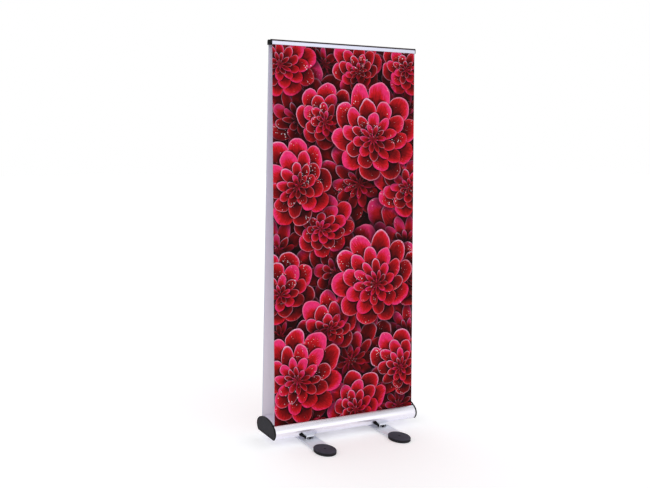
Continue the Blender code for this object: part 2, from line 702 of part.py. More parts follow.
def make_pad(word, x, pad_y, side_y, slide):
    profile = [(0.002, 0), (0, 0.003), (0, PAD_HEIGHT - 0.005), (0.002, PAD_HEIGHT - 0.0015),
               (0.006, PAD_HEIGHT)]
    mesh = oval_mesh(word + "_pad", profile, PAD_HALF_WIDTH, PAD_HALF_LENGTH, 40)
    pad = place(word + "_pad", mesh, "rubber", slide, (x, pad_y, 0))
    reach = side_y * (FOOT_REACH + PAD_GRIP + GAP)
    ends = sorted((0, reach))
    half = BAR_WIDTH / 2 + GAP
    pocket = box_mesh(word + "_pocket", (x - half, ends[0], BAR_BOTTOM_Z - GAP),
                      (x + half, ends[1], BAR_TOP_Z + GAP))
    cut(pad, make_cutter(word + "_pocket", pocket))
    low = 0.002
    past = PAD_HEIGHT + OVERRUN
    bore = rod_mesh(word + "_pad_bore", (x, pad_y, low), (x, pad_y, past), PAD_SCREW_RADIUS + GAP, 16)
    cut(pad, make_cutter(word + "_pad_bore", bore))
    sink = rod_mesh(word + "_pad_sink", (x, pad_y, PAD_SCREW_SEAT_Z), (x, pad_y, past),
                    PAD_SCREW_HEAD + 0.0006)
    cut(pad, make_cutter(word + "_pad_sink", sink))
    crown = PAD_HEIGHT - 0.0016
    seat = PAD_SCREW_SEAT_Z + GAP
    tip = low + 0.001
    screw = [(0, crown), (PAD_SCREW_HEAD - 0.0008, crown), (PAD_SCREW_HEAD, crown - 0.0006),
             (PAD_SCREW_HEAD, seat), (PAD_SCREW_RADIUS, seat), (PAD_SCREW_RADIUS, tip), (0, tip)]
    turned(word + "_pad_screw", screw, "steel", (x, pad_y, 0), "Z", slide, 16)


def make_sleeve(word, side_x, side_y, foot_x):
    """The channel under the cassette that a foot's bar slides in."""
    x = side_x * foot_x
    half = BAR_WIDTH / 2 + GAP
    low = BAR_BOTTOM_Z - GAP
    high = BAR_TOP_Z + GAP
    wall = 0.0025
    top = UNDERSIDE_Z - GAP
    outline = rectangle(x, half + wall, low - wall, top)
    channel = rectangle(x, half, low, high)
    chamber = rectangle(x, half, high + wall, top - wall)
    ends = sorted((side_y * SLEEVE_INNER_Y, side_y * SLEEVE_OUTER_Y))
    mesh = section_mesh(word + "_sleeve", [outline, channel, chamber], ends[0], ends[1], "Y")
    place(word + "_sleeve", mesh, "anodised")


def make_bracket(word, side_x, side_y, foot_x):
    """The folded hood that holds a foot's bar down, with its plate up the flank, and its catch."""
    x = side_x * foot_x
    base = BAR_TOP_Z + GAP
    top = UNDERSIDE_Z - GAP
    toe = HOOD_FRONT_Y + 0.001
    outline = [(HOOD_BACK_Y, base), (toe, base), (HOOD_FRONT_Y, HOOD_LIP_Z), (HOOD_SHOULDER_Y, top),
               (HOOD_BACK_Y, top)]
    hood = section_mesh(word + "_bracket", [turned_out(outline, side_y)], x - HOOD_HALF, x + HOOD_HALF)
    bracket = place(word + "_bracket", hood, "anodised")
    inner = HOOD_HALF - HOOD_SHEET
    roof = top - HOOD_SHEET
    deep = HOOD_BACK_Y - OVERRUN
    hollow = [(deep, base - OVERRUN), (toe + OVERRUN, base - OVERRUN), (toe + OVERRUN, HOOD_LIP_Z),
              (HOOD_FRONT_Y - HOOD_SHEET, HOOD_LIP_Z), (HOOD_SHOULDER_Y - HOOD_SHEET, roof), (deep, roof)]
    hollow = section_mesh(word + "_hollow", [turned_out(hollow, side_y)], x - inner, x + inner)
    cut(bracket, make_cutter(word + "_hollow", hollow))
    past = HOOD_HALF + OVERRUN
    ends = sorted((side_y * deep, side_y * HOOD_WALL_Y))
    gate = box_mesh(word + "_gate", (x - past, ends[0], base - OVERRUN), (x + past, ends[1], roof))
    cut(bracket, make_cutter(word + "_gate", gate))
    join(bracket, make_plate(word, x, side_y, roof))
    make_catch(word, x, side_y, roof)


def turned_out(outline, side_y):
    """An outline of the front or the back, from one drawn with its outer side at +Y."""
    return [(side_y * y, z) for y, z in outline]


def seen_from_outside(name, outline, x, side_y):
    """A prism through the flank, from an outline of x and z as seen with the front's left at -X."""
    loop = [(x - side_y * across, height) for across, height in outline]
    ends = sorted((side_y * 0.05, side_y * 0.15))
    return make_cutter(name, section_mesh(name, [loop], ends[0], ends[1], "Y"))


def make_plate(word, x, side_y, roof):
    """The hood's plate, which follows the cassette's flank upwards and has a slanted side."""
    outer = [floor_y(HALF_DEPTH + GAP + HOOD_SHEET, LOWER_DROP + GAP + HOOD_SHEET, z)
             for z in (0.0367, 0.042, 0.048, 0.055, 0.0625)]
    inner = [floor_y(HALF_DEPTH + GAP, LOWER_DROP + GAP, z) for z in (0.0625, 0.055, 0.048, 0.042, 0.0372)]
    section = [(HOOD_SHOULDER_Y, roof + 0.0007)]
    section += zip(outer, (0.0367, 0.042, 0.048, 0.055, 0.0625))
    section += zip(inner, (0.0625, 0.055, 0.048, 0.042, 0.0372))
    section += [(inner[-1], roof + 0.0007)]
    mesh = section_mesh(word + "_plate", [turned_out(section, side_y)], x - 0.08, x + 0.08)
    plate = make_cutter(word + "_plate", mesh)
    combine(plate, seen_from_outside(word + "_plate_outline", PLATE_OUTLINE, x, side_y), "INTERSECT")
    return plate


def make_catch(word, x, side_y, roof):
    """The black catch in a hood: a block with a release tongue, and an arm out to its lever."""
    back = HOOD_BACK_Y + GAP
    inner = HOOD_HALF - HOOD_SHEET - GAP
    gap = HOOD_SHEET + GAP
    block = [(back, BLOCK_BASE_Z), (HOOD_FRONT_Y - gap, BLOCK_BASE_Z), (HOOD_FRONT_Y - gap, HOOD_LIP_Z - GAP),
             (HOOD_SHOULDER_Y - gap, roof - GAP), (back, roof - GAP)]
    mesh = section_mesh(word + "_catch", [turned_out(block, side_y)], x - inner, x + inner)
    catch = place(word + "_catch", mesh, "black_plastic")
    ends = sorted((side_y * (HOOD_FRONT_Y - gap - 0.003), side_y * TONGUE_FRONT_Y))
    tongue = box_mesh(word + "_tongue", (x - TONGUE_HALF, ends[0], TONGUE_BASE_Z),
                      (x + TONGUE_HALF, ends[1], HOOD_LIP_Z - 0.001))
    join(catch, make_cutter(word + "_tongue", tongue))
    ends = sorted((x + side_y * (inner - 0.003), x + side_y * ARM_END))
    arm = [(back, BLOCK_BASE_Z), (HOOD_WALL_Y - GAP, BLOCK_BASE_Z), (HOOD_WALL_Y - GAP, roof - GAP),
           (back, roof - GAP)]
    arm = section_mesh(word + "_arm", [turned_out(arm, side_y)], *ends)
    join(catch, make_cutter(word + "_arm", arm))
    mesh = section_mesh(word + "_lever", [turned_out(LEVER_SECTION, side_y)], x - 0.08, x + 0.08)
    lever = make_cutter(word + "_lever", mesh)
    combine(lever, seen_from_outside(word + "_lever_outline", LEVER_OUTLINE, x, side_y), "INTERSECT")
    join(catch, lever)
    shell = section_mesh(word + "_shell", [outer_loop(GAP)], x - 0.1, x + 0.1)
    cut(catch, make_cutter(word + "_shell", shell))


def build():
    start_scene()
    make_cassette()
    for side, word in ((-1, "left"), (1, "right")):
        make_end_cap(side, word + "_end_cap")
        for sign, place_word in ((-1, "front"), (1, "back")):
            make_cap_screw(side, sign, "%s_%s_cap_screw" % (word, place_word))
        make_torsion_spring(side, word + "_mast_spring")
    make_yoke()
    make_pin()
    for side, word in ((-1, "front"), (1, "back")):
        make_spindle(side, word + "_spindle")
        make_roller_spring(side, word + "_roller_spring")
        make_roller(side, word)
    mast = pivot_at("mast_axis", (0, 0, PIVOT_Z))
    make_mast(mast)
    make_rail_core(mast)
    for side, word in ((-1, "front"), (1, "back")):
        make_rail_clamp(side, word + "_rail_clamp", mast)
        make_graphic(side, word + "_graphic", mast)
    for side, word in ((-1, "left"), (1, "right")):
        make_rail_cap(side, word + "_rail_cap", mast)
    for side_y, place_word, foot_x in ((-1, "front", FRONT_FOOT_X), (1, "back", BACK_FOOT_X)):
        for side_x, word in ((-1, "left"), (1, "right")):
            name = "%s_%s_foot" % (place_word, word)
            make_foot(name, side_x, side_y, foot_x)
            make_sleeve(name, side_x, side_y, foot_x)
            make_bracket(name, side_x, side_y, foot_x)


build()
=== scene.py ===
"""Outdoor roll-up banner stand: finishes, printed films and a studio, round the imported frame.

Units are metres, +Z is up, X runs along the width of the graphic and -Y is the front.
"""
from math import acos, asin, atan2, cos, degrees, pi, radians, sin, sqrt

import bpy
from mathutils import Matrix, Vector


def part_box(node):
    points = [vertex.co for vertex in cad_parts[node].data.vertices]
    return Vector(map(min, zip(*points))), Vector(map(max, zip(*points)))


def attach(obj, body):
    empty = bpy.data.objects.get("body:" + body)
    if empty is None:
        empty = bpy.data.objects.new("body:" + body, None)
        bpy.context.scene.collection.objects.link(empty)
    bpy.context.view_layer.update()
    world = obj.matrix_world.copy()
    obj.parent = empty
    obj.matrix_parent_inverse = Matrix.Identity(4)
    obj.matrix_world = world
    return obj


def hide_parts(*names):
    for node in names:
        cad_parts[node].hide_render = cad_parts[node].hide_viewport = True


bl_info = {
    "name": "Outdoor roll-up banner stand",
    "version": (1, 0, 0),
    "blender": (4, 5, 0),
    "location": "View3D > Sidebar > Banner Stand",
    "description": "Builds the stand's finishes, printed films and studio round its packed frame",
    "category": "Add Mesh",
}

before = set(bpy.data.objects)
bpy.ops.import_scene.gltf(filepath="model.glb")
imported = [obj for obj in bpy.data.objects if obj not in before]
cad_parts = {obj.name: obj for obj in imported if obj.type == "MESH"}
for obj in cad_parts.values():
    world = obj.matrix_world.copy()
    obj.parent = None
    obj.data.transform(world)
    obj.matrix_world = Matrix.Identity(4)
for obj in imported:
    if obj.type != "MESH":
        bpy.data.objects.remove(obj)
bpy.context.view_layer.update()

# Sizes read from the frame
case_low, case_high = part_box("cassette_housing")
cap_low, cap_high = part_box("left_end_cap")
core_low, core_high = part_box("top_rail_core")
film_low, film_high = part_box("back_graphic")
bar_low, bar_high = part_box("front_left_foot_bar")
pad_low, pad_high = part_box("front_left_foot_pad")
back_bar_low, back_bar_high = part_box("back_right_foot_bar")
HALF_DEPTH = case_high.y
UNDERSIDE_Z = case_low.z
CASSETTE_TOP_Z = case_high.z
CAP_MARGIN = cap_high.y - case_high.y
CAP_OUTER_X = -cap_low.x
CAP_INNER_X = -cap_high.x
RAIL_TOP_Z = core_high.z
RAIL_BOTTOM_Z = core_low.z
RAIL_END_X = core_high.x
CLAMP_OUTER_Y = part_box("back_rail_clamp")[1].y
FRONT_FOOT_X = -(bar_low.x + bar_high.x) / 2
BACK_FOOT_X = (back_bar_low.x + back_bar_high.x) / 2
FOOT_REACH = -(pad_low.y + pad_high.y) / 2
PAD_HALF_WIDTH = (pad_high.x - pad_low.x) / 2
PAD_HALF_LENGTH = (pad_high.y - pad_low.y) / 2
PAD_HEIGHT = pad_high.z
BAR_TOP_Z = bar_high.z

# Sizes of the sections, as the solids have them
GAP = 0.0003
WAIST_Z = 0.071
WALL = 0.003
SLOT_INNER_Y = 0.0790
SLOT_OUTER_Y = 0.0895
WEB_Y = 0.030
PORT_BLOCK = 0.009
PORT_RADIUS = 0.0023
PORT_Y = WEB_Y + PORT_BLOCK / 2
PORT_Z = UNDERSIDE_Z + WALL + PORT_BLOCK / 2
PIVOT_Z = 0.105
PIN_BORE = 0.0063
MOUTH_X = 0.020
MOUTH_Y = 0.0265
CAP_RIM = 0.006
CAP_RECESS = 0.001
NOTCH_LOW_Z = 0.1070
NOTCH_HIGH_Z = 0.135
NOTCH_HALF = 0.003
ROLLER_Y = 0.052
ROLLER_Z = 0.068
AXLE_BORE = 0.005
SCREW_HEAD = 0.0042
SCREW_SEAT_X = CAP_OUTER_X - 0.004
BEAD_Y = 0.0205
BEAD_Z = RAIL_BOTTOM_Z + 0.0165
BEAD_RADIUS = 0.0022
NECK = 0.0016
MAST_RADIUS = 0.014
MAST_WALL = 0.0016
MAST_CUP = MAST_RADIUS + GAP
SPIGOT_LENGTH = 0.060
PAD_BORE = 0.0033
LOWER_DROP = 0.063
HOOD_BACK_Y = 0.0870
HOOD_HALF = 0.0235
HOOD_SHEET = 0.0022
HOOD_FRONT_Y = 0.1057
HOOD_SHOULDER_Y = 0.1025
HOOD_LIP_Z = 0.0265
HOOD_WALL_Y = 0.0952
WELD = 0.0007
PLATE_LOW_Z = 0.0367
PLATE_HIGH_Z = 0.0625
PLATE_OUTLINE = ((-HOOD_HALF, 0.0300), (HOOD_HALF, 0.0300), (HOOD_HALF, 0.0500), (-0.0545, 0.0615))
BLOCK_BASE_Z = 0.0205
TONGUE_HALF = 0.006
TONGUE_FRONT_Y = 0.1077
TONGUE_BASE_Z = 0.0155
ARM_END = 0.0262
ARM_DROP = 0.0003
FLANK_Y = (0.05, 0.15)
LEVER_OUTLINE = ((-0.0240, 0.0165), (-0.0240, 0.0296), (-0.0570, 0.0625), (-0.0700, 0.0545),
                 (-0.0700, 0.0480), (-0.0480, 0.0340), (-0.0275, 0.0205), (-0.0262, 0.0165))
LEVER_SECTION = ((0.0876, 0.0150), (0.1032, 0.0150), (0.1052, 0.0300), (0.1115, 0.0400),
                 (0.1170, 0.0500), (0.1204, 0.0580), (0.1204, 0.0635), (0.0970, 0.0635),
                 (0.0970, 0.0360), (0.0876, 0.0360))


def screen(red, green, blue):
    """A linear colour from a screen's 0 to 255 values."""
    return tuple(((c / 255 + 0.055) / 1.055) ** 2.4 if c > 10 else c / 3295
                 for c in (red, green, blue))


def colour(name, description, default):
    return bpy.props.FloatVectorProperty(name=name, description=description, default=default,
                                         subtype="COLOR", size=3, min=0, max=1)


def setting(name, description, default, **options):
    return bpy.props.FloatProperty(name=name, description=description, default=default, **options)


def length(name, description, default):
    return setting(name, description, default, unit="LENGTH")


def amount(name, description, default):
    return setting(name, description, default, min=0, max=1, subtype="FACTOR")


class FilmSettings(bpy.types.PropertyGroup):
    thickness: length("Thickness", "Thickness of the printed film", 0.0005)
    cup: length("Cup", "How far the film's middle bows out between the rail and the slot", 0.0016)
    rings: bpy.props.IntProperty(name="Rings", description="Rings of petals in a blossom",
                                 default=5)
    gap: colour("Gap", "Print between the blossoms", screen(52, 7, 11))
    deep: colour("Deep", "Print low on a petal, in the shade of the next", screen(128, 12, 17))
    crimson: colour("Crimson", "Print on the body of a petal", screen(208, 24, 36))
    pink: colour("Pink", "Print near a petal's edge", screen(240, 50, 116))
    rim: colour("Rim", "Print on a petal's rim", screen(244, 184, 216))
    dew: colour("Dew", "Print of the small drops on the petals", screen(252, 244, 252))
    back: colour("Back", "Unprinted side of the film", screen(236, 229, 246))
    edge: colour("Edge", "Cut edge and margin of the film", screen(232, 236, 246))
    roughness: amount("Roughness", "Roughness of the film", 0.5)


class MetalSettings(bpy.types.PropertyGroup):
    anodised: colour("Anodised", "Satin anodised aluminium", screen(243, 241, 252))
    clamp: colour("Clamp strips", "Anodised aluminium of the rail's strips", screen(212, 214, 231))
    bar: colour("Bars", "Brushed aluminium of the feet's bars", screen(238, 241, 252))
    dark: colour("Dark strip", "Dark anodised top of the rail", screen(60, 50, 53))
    steel: colour("Steel", "Zinc-plated steel", screen(168, 170, 174))
    blackened: colour("Blackened", "Blackened screws", screen(40, 40, 44))
    roughness: amount("Roughness", "Roughness of the satin finish", 0.28)


class MouldingSettings(bpy.types.PropertyGroup):
    face: colour("Face", "Grained face of the end caps", screen(44, 43, 48))
    side: colour("Side", "Glossier black sides of the mouldings", screen(9, 9, 11))
    rubber: colour("Rubber", "Top of the rubber pads", screen(66, 65, 77))
    # Painted shade: the pads' sides take this darker copy of the rubber, as less light falls on them
    # than on the tops.
    rubber_painted_shade: colour("Rubber side", "Side of the rubber pads", screen(30, 28, 33))


class StudioSettings(bpy.types.PropertyGroup):
    floor: colour("Floor", "Pale floor", screen(250, 250, 252))
    key: setting("Key", "Strength of the broad light in front", 0.5)
    rear: setting("Rear", "Strength of the light from behind", 0.4)
    sky: amount("Sky", "Strength of the even light from all round", 0.75)
    dusk: amount("Upper grey", "How bright metal shows the band half way up the surroundings", 0.62)
    glow: amount("Floor glow", "What the camera sees added to the floor, so that it is white", 0.26)
    focal: setting("Focal length", "Camera's focal length in millimetres", 48.22)


# Tools for materials

class Nodes:
    """Adds nodes to a material's tree from left to right; inputs are sockets or plain values."""

    def __init__(self, tree):
        self.tree = tree
        self.count = 0

    def feed(self, socket, value):
        if isinstance(value, bpy.types.NodeSocket):
            self.tree.links.new(value, socket)
        else:
            socket.default_value = value

    def add(self, kind, inputs=(), **settings):
        node = self.tree.nodes.new("ShaderNode" + kind)
        node.location = (-2400 + 170 * (self.count % 14), 900 - 220 * (self.count // 14))
        self.count += 1
        for name, value in settings.items():
            setattr(node, name, value)
        for socket, value in zip(node.inputs, inputs):
            if value is not None:
                self.feed(socket, value)
        return node

    def math(self, operation, *values):
        return self.add("Math", values, operation=operation).outputs[0]

    def plus(self, *values):
        return self.math("ADD", *values)

    def minus(self, *values):
        return self.math("SUBTRACT", *values)

    def times(self, *values):
        return self.math("MULTIPLY", *values)

    def times_plus(self, *values):
        return self.math("MULTIPLY_ADD", *values)

    def blend(self, first, weight, second):
        """Two patterns added up, the first by its weight and the second by what is left of 1."""
        return self.plus(self.times(first, weight), self.times(second, 1 - weight))

    def vector(self, operation, *values):
        return self.add("VectorMath", values, operation=operation).outputs[0]

    def measure(self, operation, *values):
        """A number from one or two vectors, such as a length."""
        return self.add("VectorMath", values, operation=operation).outputs["Value"]

    def parts(self, place):
        return self.add("SeparateXYZ", (place,)).outputs

    def joined(self, *parts):
        return self.add("CombineXYZ", parts).outputs[0]

    def place(self):
        return self.add("TexCoord").outputs["Object"]

    def stretched(self, place, scale):
        return self.vector("MULTIPLY", place, scale)

    def noise(self, place, scale, detail=2.0, roughness=0.5, output=0):
        node = self.add("TexNoise")
        settings = {"Vector": place, "Scale": scale, "Detail": detail, "Roughness": roughness}
        for name, value in settings.items():
            self.feed(node.inputs[name], value)
        return node.outputs[output]

    def cells(self, place, scale):
        """A pattern of cells: the distance from a cell's middle, and the cell's own colour."""
        node = self.add("TexVoronoi", feature="F1")
        self.feed(node.inputs["Vector"], place)
        node.inputs["Scale"].default_value = scale
        return node.outputs

    def between(self, value, low, high, start=0.0, end=1.0, smooth=False):
        """Takes a value from its own range to another, and holds it there past the ends."""
        node = self.add("MapRange")
        node.interpolation_type = "SMOOTHSTEP" if smooth else "LINEAR"
        for socket, number in zip(node.inputs, (value, low, high, start, end)):
            self.feed(socket, number)
        return node.outputs[0]

    def mix(self, share, first, second, blend="MIX"):
        node = self.add("Mix", data_type="RGBA", blend_type=blend)
        for name, value in (("Factor_Float", share), ("A_Color", first), ("B_Color", second)):
            socket = next(s for s in node.inputs if s.identifier == name)
            if name != "Factor_Float" and not isinstance(value, bpy.types.NodeSocket):
                value = (*value[:3], 1.0)
            self.feed(socket, value)
        return next(s for s in node.outputs if s.identifier == "Result_Color")

    def pick(self, share, first, second):
        """A number between two others."""
        return self.add("Mix", (share, None, first, second), data_type="FLOAT").outputs[0]

    def ramp(self, value, stops):
        node = self.add("ValToRGB")
        self.feed(node.inputs[0], value)
        marks = node.color_ramp.elements
        while len(marks) < len(stops):
            marks.new(0.5)
        for mark, (position, shade) in zip(marks, stops):
            mark.position = position
            mark.color = (*shade[:3], 1.0)
        return node.outputs[0]

    def bump(self, height, strength, distance):
        node = self.add("Bump")
        node.inputs["Strength"].default_value = strength
        node.inputs["Distance"].default_value = distance
        self.feed(node.inputs["Height"], height)
        return node.outputs[0]


def new_finish(name, roughness, metallic=0.0, specular=0.5):
    """A material with its shader and a desk to add nodes to it."""
    finish = bpy.data.materials.new(name)
    finish.use_nodes = True
    shader = finish.node_tree.nodes["Principled BSDF"]
    shader.inputs["Roughness"].default_value = roughness
    shader.inputs["Metallic"].default_value = metallic
    shader.inputs["Specular IOR Level"].default_value = specular
    return finish, Nodes(finish.node_tree), shader


def tinted(shade, factor, lift=0.0):
    return [min(1.0, c * factor + lift) for c in shade]


def coat(nodes, shader, shade, roughness, height, strength, depth):
    """Feeds a shader its colour, its roughness and the relief of its surface."""
    nodes.feed(shader.inputs["Base Color"], shade)
    nodes.feed(shader.inputs["Roughness"], roughness)
    nodes.feed(shader.inputs["Normal"], nodes.bump(height, strength, depth))


def metal_finish(name, shade, roughness, along, depth=0.00002, metallic=1.0, specular=0.5):
    """Satin metal with the fine lines of its extrusion or rolling, which run along one axis."""
    finish, nodes, shader = new_finish(name, roughness, metallic, specular)
    place = nodes.place()
    stretch = [1.0 if axis == along else 60.0 for axis in "XYZ"]
    lines = nodes.noise(nodes.stretched(place, stretch), 9.0, 4.0, 0.65)
    cloud = nodes.noise(place, 5.0, 3.0, 0.6)
    grain = nodes.noise(place, 1400.0, 1.0)
    tone = nodes.blend(lines, 0.6, cloud)
    shade = nodes.mix(nodes.between(tone, 0.35, 0.65), tinted(shade, 0.93), tinted(shade, 1.05))
    rough = nodes.between(tone, 0.35, 0.65, roughness - 0.04, roughness + 0.05)
    coat(nodes, shader, shade, rough, nodes.plus(lines, nodes.times(grain, 0.5)), 0.35, depth)
    return finish


def moulded_finish(name, shade, roughness, grain_size, depth, specular=0.4):
    """Moulded plastic or rubber: even colour with a fine grain and faint rub marks."""
    finish, nodes, shader = new_finish(name, roughness, 0.0, specular)
    place = nodes.place()
    grain = nodes.cells(place, 1 / grain_size)["Distance"]
    cloud = nodes.noise(place, 16.0, 4.0, 0.6)
    rub = nodes.noise(nodes.stretched(place, (1, 3, 1)), 55.0, 5.0, 0.7)
    tone = nodes.between(nodes.blend(cloud, 0.7, rub), 0.35, 0.65)
    shade = nodes.mix(tone, tinted(shade, 0.84), tinted(shade, 1.22, 0.002))
    rough = nodes.between(rub, 0.3, 0.7, roughness - 0.06, roughness + 0.08)
    coat(nodes, shader, shade, rough, nodes.plus(grain, nodes.times(rub, 0.4)), 0.5, depth)
    return finish


# The printed pattern: overlapping blossoms of ringed petals

# Middle x and z, radius, height for its width, turn in degrees, petals in a ring, and how lit it is
BLOSSOMS = (
    (-0.10, 2.03, 0.27, 0.95, 12, 9, 0.70),
    (0.31, 1.80, 0.28, 1.05, 66, 10, 0.70),
    (-0.27, 1.75, 0.28, 0.98, 35, 9, 0.64),
    (0.05, 1.40, 0.29, 1.04, 80, 10, 0.70),
    (-0.38, 1.08, 0.28, 1.02, 20, 9, 0.70),
    (0.37, 1.08, 0.29, 0.96, 50, 10, 0.64),
    (-0.03, 0.93, 0.28, 1.00, 5, 9, 0.70),
    (0.41, 0.58, 0.27, 1.04, 28, 10, 0.70),
    (-0.41, 0.62, 0.28, 0.98, 72, 9, 0.64),
    (0.03, 0.46, 0.29, 1.00, 44, 10, 0.70),
    (-0.25, 0.13, 0.27, 0.96, 60, 9, 0.70),
    (0.36, 0.16, 0.28, 1.02, 15, 10, 0.64),
    (-0.36, 1.99, 0.19, 1.00, 10, 9, 0.92),
    (0.06, 1.98, 0.17, 0.92, 75, 8, 0.92),
    (0.38, 2.01, 0.17, 0.94, 40, 8, 0.92),
    (-0.12, 1.72, 0.17, 1.05, 20, 8, 0.96),
    (0.37, 1.37, 0.19, 1.08, 62, 8, 0.92),
    (-0.13, 1.15, 0.18, 0.94, 15, 8, 0.92),
    (-0.38, 0.84, 0.19, 1.05, 50, 8, 0.92),
    (0.40, 0.86, 0.18, 1.02, 24, 8, 0.92),
    (-0.11, 0.62, 0.19, 0.95, 70, 8, 0.96),
    (0.33, 0.37, 0.20, 0.96, 80, 9, 0.96),
    (0.07, 0.17, 0.19, 0.98, 33, 8, 0.96),
    (0.18, 1.64, 0.26, 1.04, 25, 10, 1.00),
    (-0.31, 1.38, 0.23, 0.97, 85, 9, 1.00),
    (0.17, 0.86, 0.26, 0.98, 60, 10, 1.00),
    (-0.27, 0.36, 0.25, 1.03, 5, 10, 1.00),
)
# What the blossoms hand on from one to the next
BLOSSOM_STATE = ("Ring", "Turn", "Number", "Petals", "Facing", "Light")
LIGHT_FROM = (-0.55, 0.83, 0.0)
GOLDEN_SHARE = 0.618
FILM_RELIEF = 0.00005


def petal_edge(nodes, across):
    """How far out a petal reaches at a place across it, from 1 at its middle to 0 at its sides."""
    round_part = nodes.minus(1.0, nodes.math("POWER", across, 2.4))
    arch = nodes.math("POWER", nodes.math("MAXIMUM", round_part, 0.0), 0.58)
    return nodes.times(arch, nodes.times_plus(across, -0.16, 1.0))


def ring_shift(nodes, whole):
    """How far round a ring's petals start, as a share of a petal, so that rings don't line up."""
    return nodes.math("FRACT", nodes.times(whole, GOLDEN_SHARE))


def across_petal(nodes, turn, shift):
    """Where a place is across its petal: -0.5 to 0.5, and 0 to 1 away from the middle line."""
    phase = nodes.math("WRAP", nodes.plus(turn, shift), 0.5, -0.5)
    return phase, nodes.times(nodes.math("ABSOLUTE", phase), 2.0)


def blossom_group(settings):
    """A group that lays one blossom over the ones behind it and shades what its edge overhangs."""
    group = bpy.data.node_groups.new("blossom", "ShaderNodeTree")
    for name in ("Place", "Middle", "Spin", "Size"):
        group.interface.new_socket(name, in_out="INPUT", socket_type="NodeSocketVector")
    for name in ("Own number", "Own petals", "Own light", *BLOSSOM_STATE):
        group.interface.new_socket(name, in_out="INPUT", socket_type="NodeSocketFloat")
    for name in BLOSSOM_STATE:
        group.interface.new_socket(name, in_out="OUTPUT", socket_type="NodeSocketFloat")
    nodes = Nodes(group)
    given = group.nodes.new("NodeGroupInput").outputs
    result = group.nodes.new("NodeGroupOutput").inputs
    local = nodes.add("Mapping", (given["Place"], given["Middle"], given["Spin"], given["Size"]),
                      vector_type="TEXTURE").outputs[0]
    inwards = nodes.math("MAXIMUM", nodes.minus(1.0, nodes.measure("LENGTH", local)), 0.0)
    drift = nodes.times(inwards, 0.16)
    local = nodes.vector("ADD", local, nodes.joined(drift, drift, 0.0))
    parts = nodes.parts(local)
    share = nodes.times_plus(nodes.math("ARCTAN2", parts[1], parts[0]), 1 / (2 * pi), 0.5)
    turn = nodes.times(share, given["Own petals"])
    reach = nodes.math("POWER", nodes.measure("LENGTH", local), 0.8)
    ring = nodes.times(reach, float(settings.rings))
    outward = nodes.vector("NORMALIZE", nodes.vector("SUBTRACT", given["Place"], given["Middle"]))
    facing = nodes.measure("DOT_PRODUCT", outward, LIGHT_FROM)
    outer = settings.rings - 1
    across = across_petal(nodes, turn, (outer * GOLDEN_SHARE) % 1)[1]
    past = nodes.minus(nodes.minus(ring, float(outer)), petal_edge(nodes, across))
    on_top = nodes.math("LESS_THAN", past, 0.0)
    shade = nodes.between(past, 0.0, 1.1, 0.20, 1.0, True)
    behind = nodes.times(given["Light"], shade)
    own = (ring, turn, given["Own number"], given["Own petals"], facing)
    for name, value in zip(BLOSSOM_STATE, own):
        nodes.feed(result[name], nodes.pick(on_top, given[name], value))
    nodes.feed(result["Light"], nodes.pick(on_top, behind, given["Own light"]))
    return group


def print_colour(nodes, settings):
    """The printed blossoms, from where a point is on the film."""
    parts = nodes.parts(nodes.place())
    flat = nodes.joined(parts[0], parts[2], 0.0)
    for scale, reach in ((4.5, 0.06), (17.0, 0.013)):
        cloud = nodes.noise(flat, scale, 1.0, output="Color")
        wander = nodes.vector("SUBTRACT", cloud, (0.5, 0.5, 0.5))
        flat = nodes.vector("ADD", flat, nodes.stretched(wander, (reach, reach, 0.0)))
    group = blossom_group(settings)
    state = [9.0, 0.0, 0.0, 9.0, 0.0, 1.0]
    for number, (x, z, radius, tall, turn, petals, light) in enumerate(BLOSSOMS):
        one = nodes.add("Group", node_tree=group)
        values = [flat, (x, z, 0), (0, 0, radians(turn)), (radius, radius * tall, 1)]
        values += [float(number), float(petals), light]
        for socket, value in zip(one.inputs, values + state):
            nodes.feed(socket, value)
        state = list(one.outputs)
    return petal_colour(nodes, settings, flat, *state)


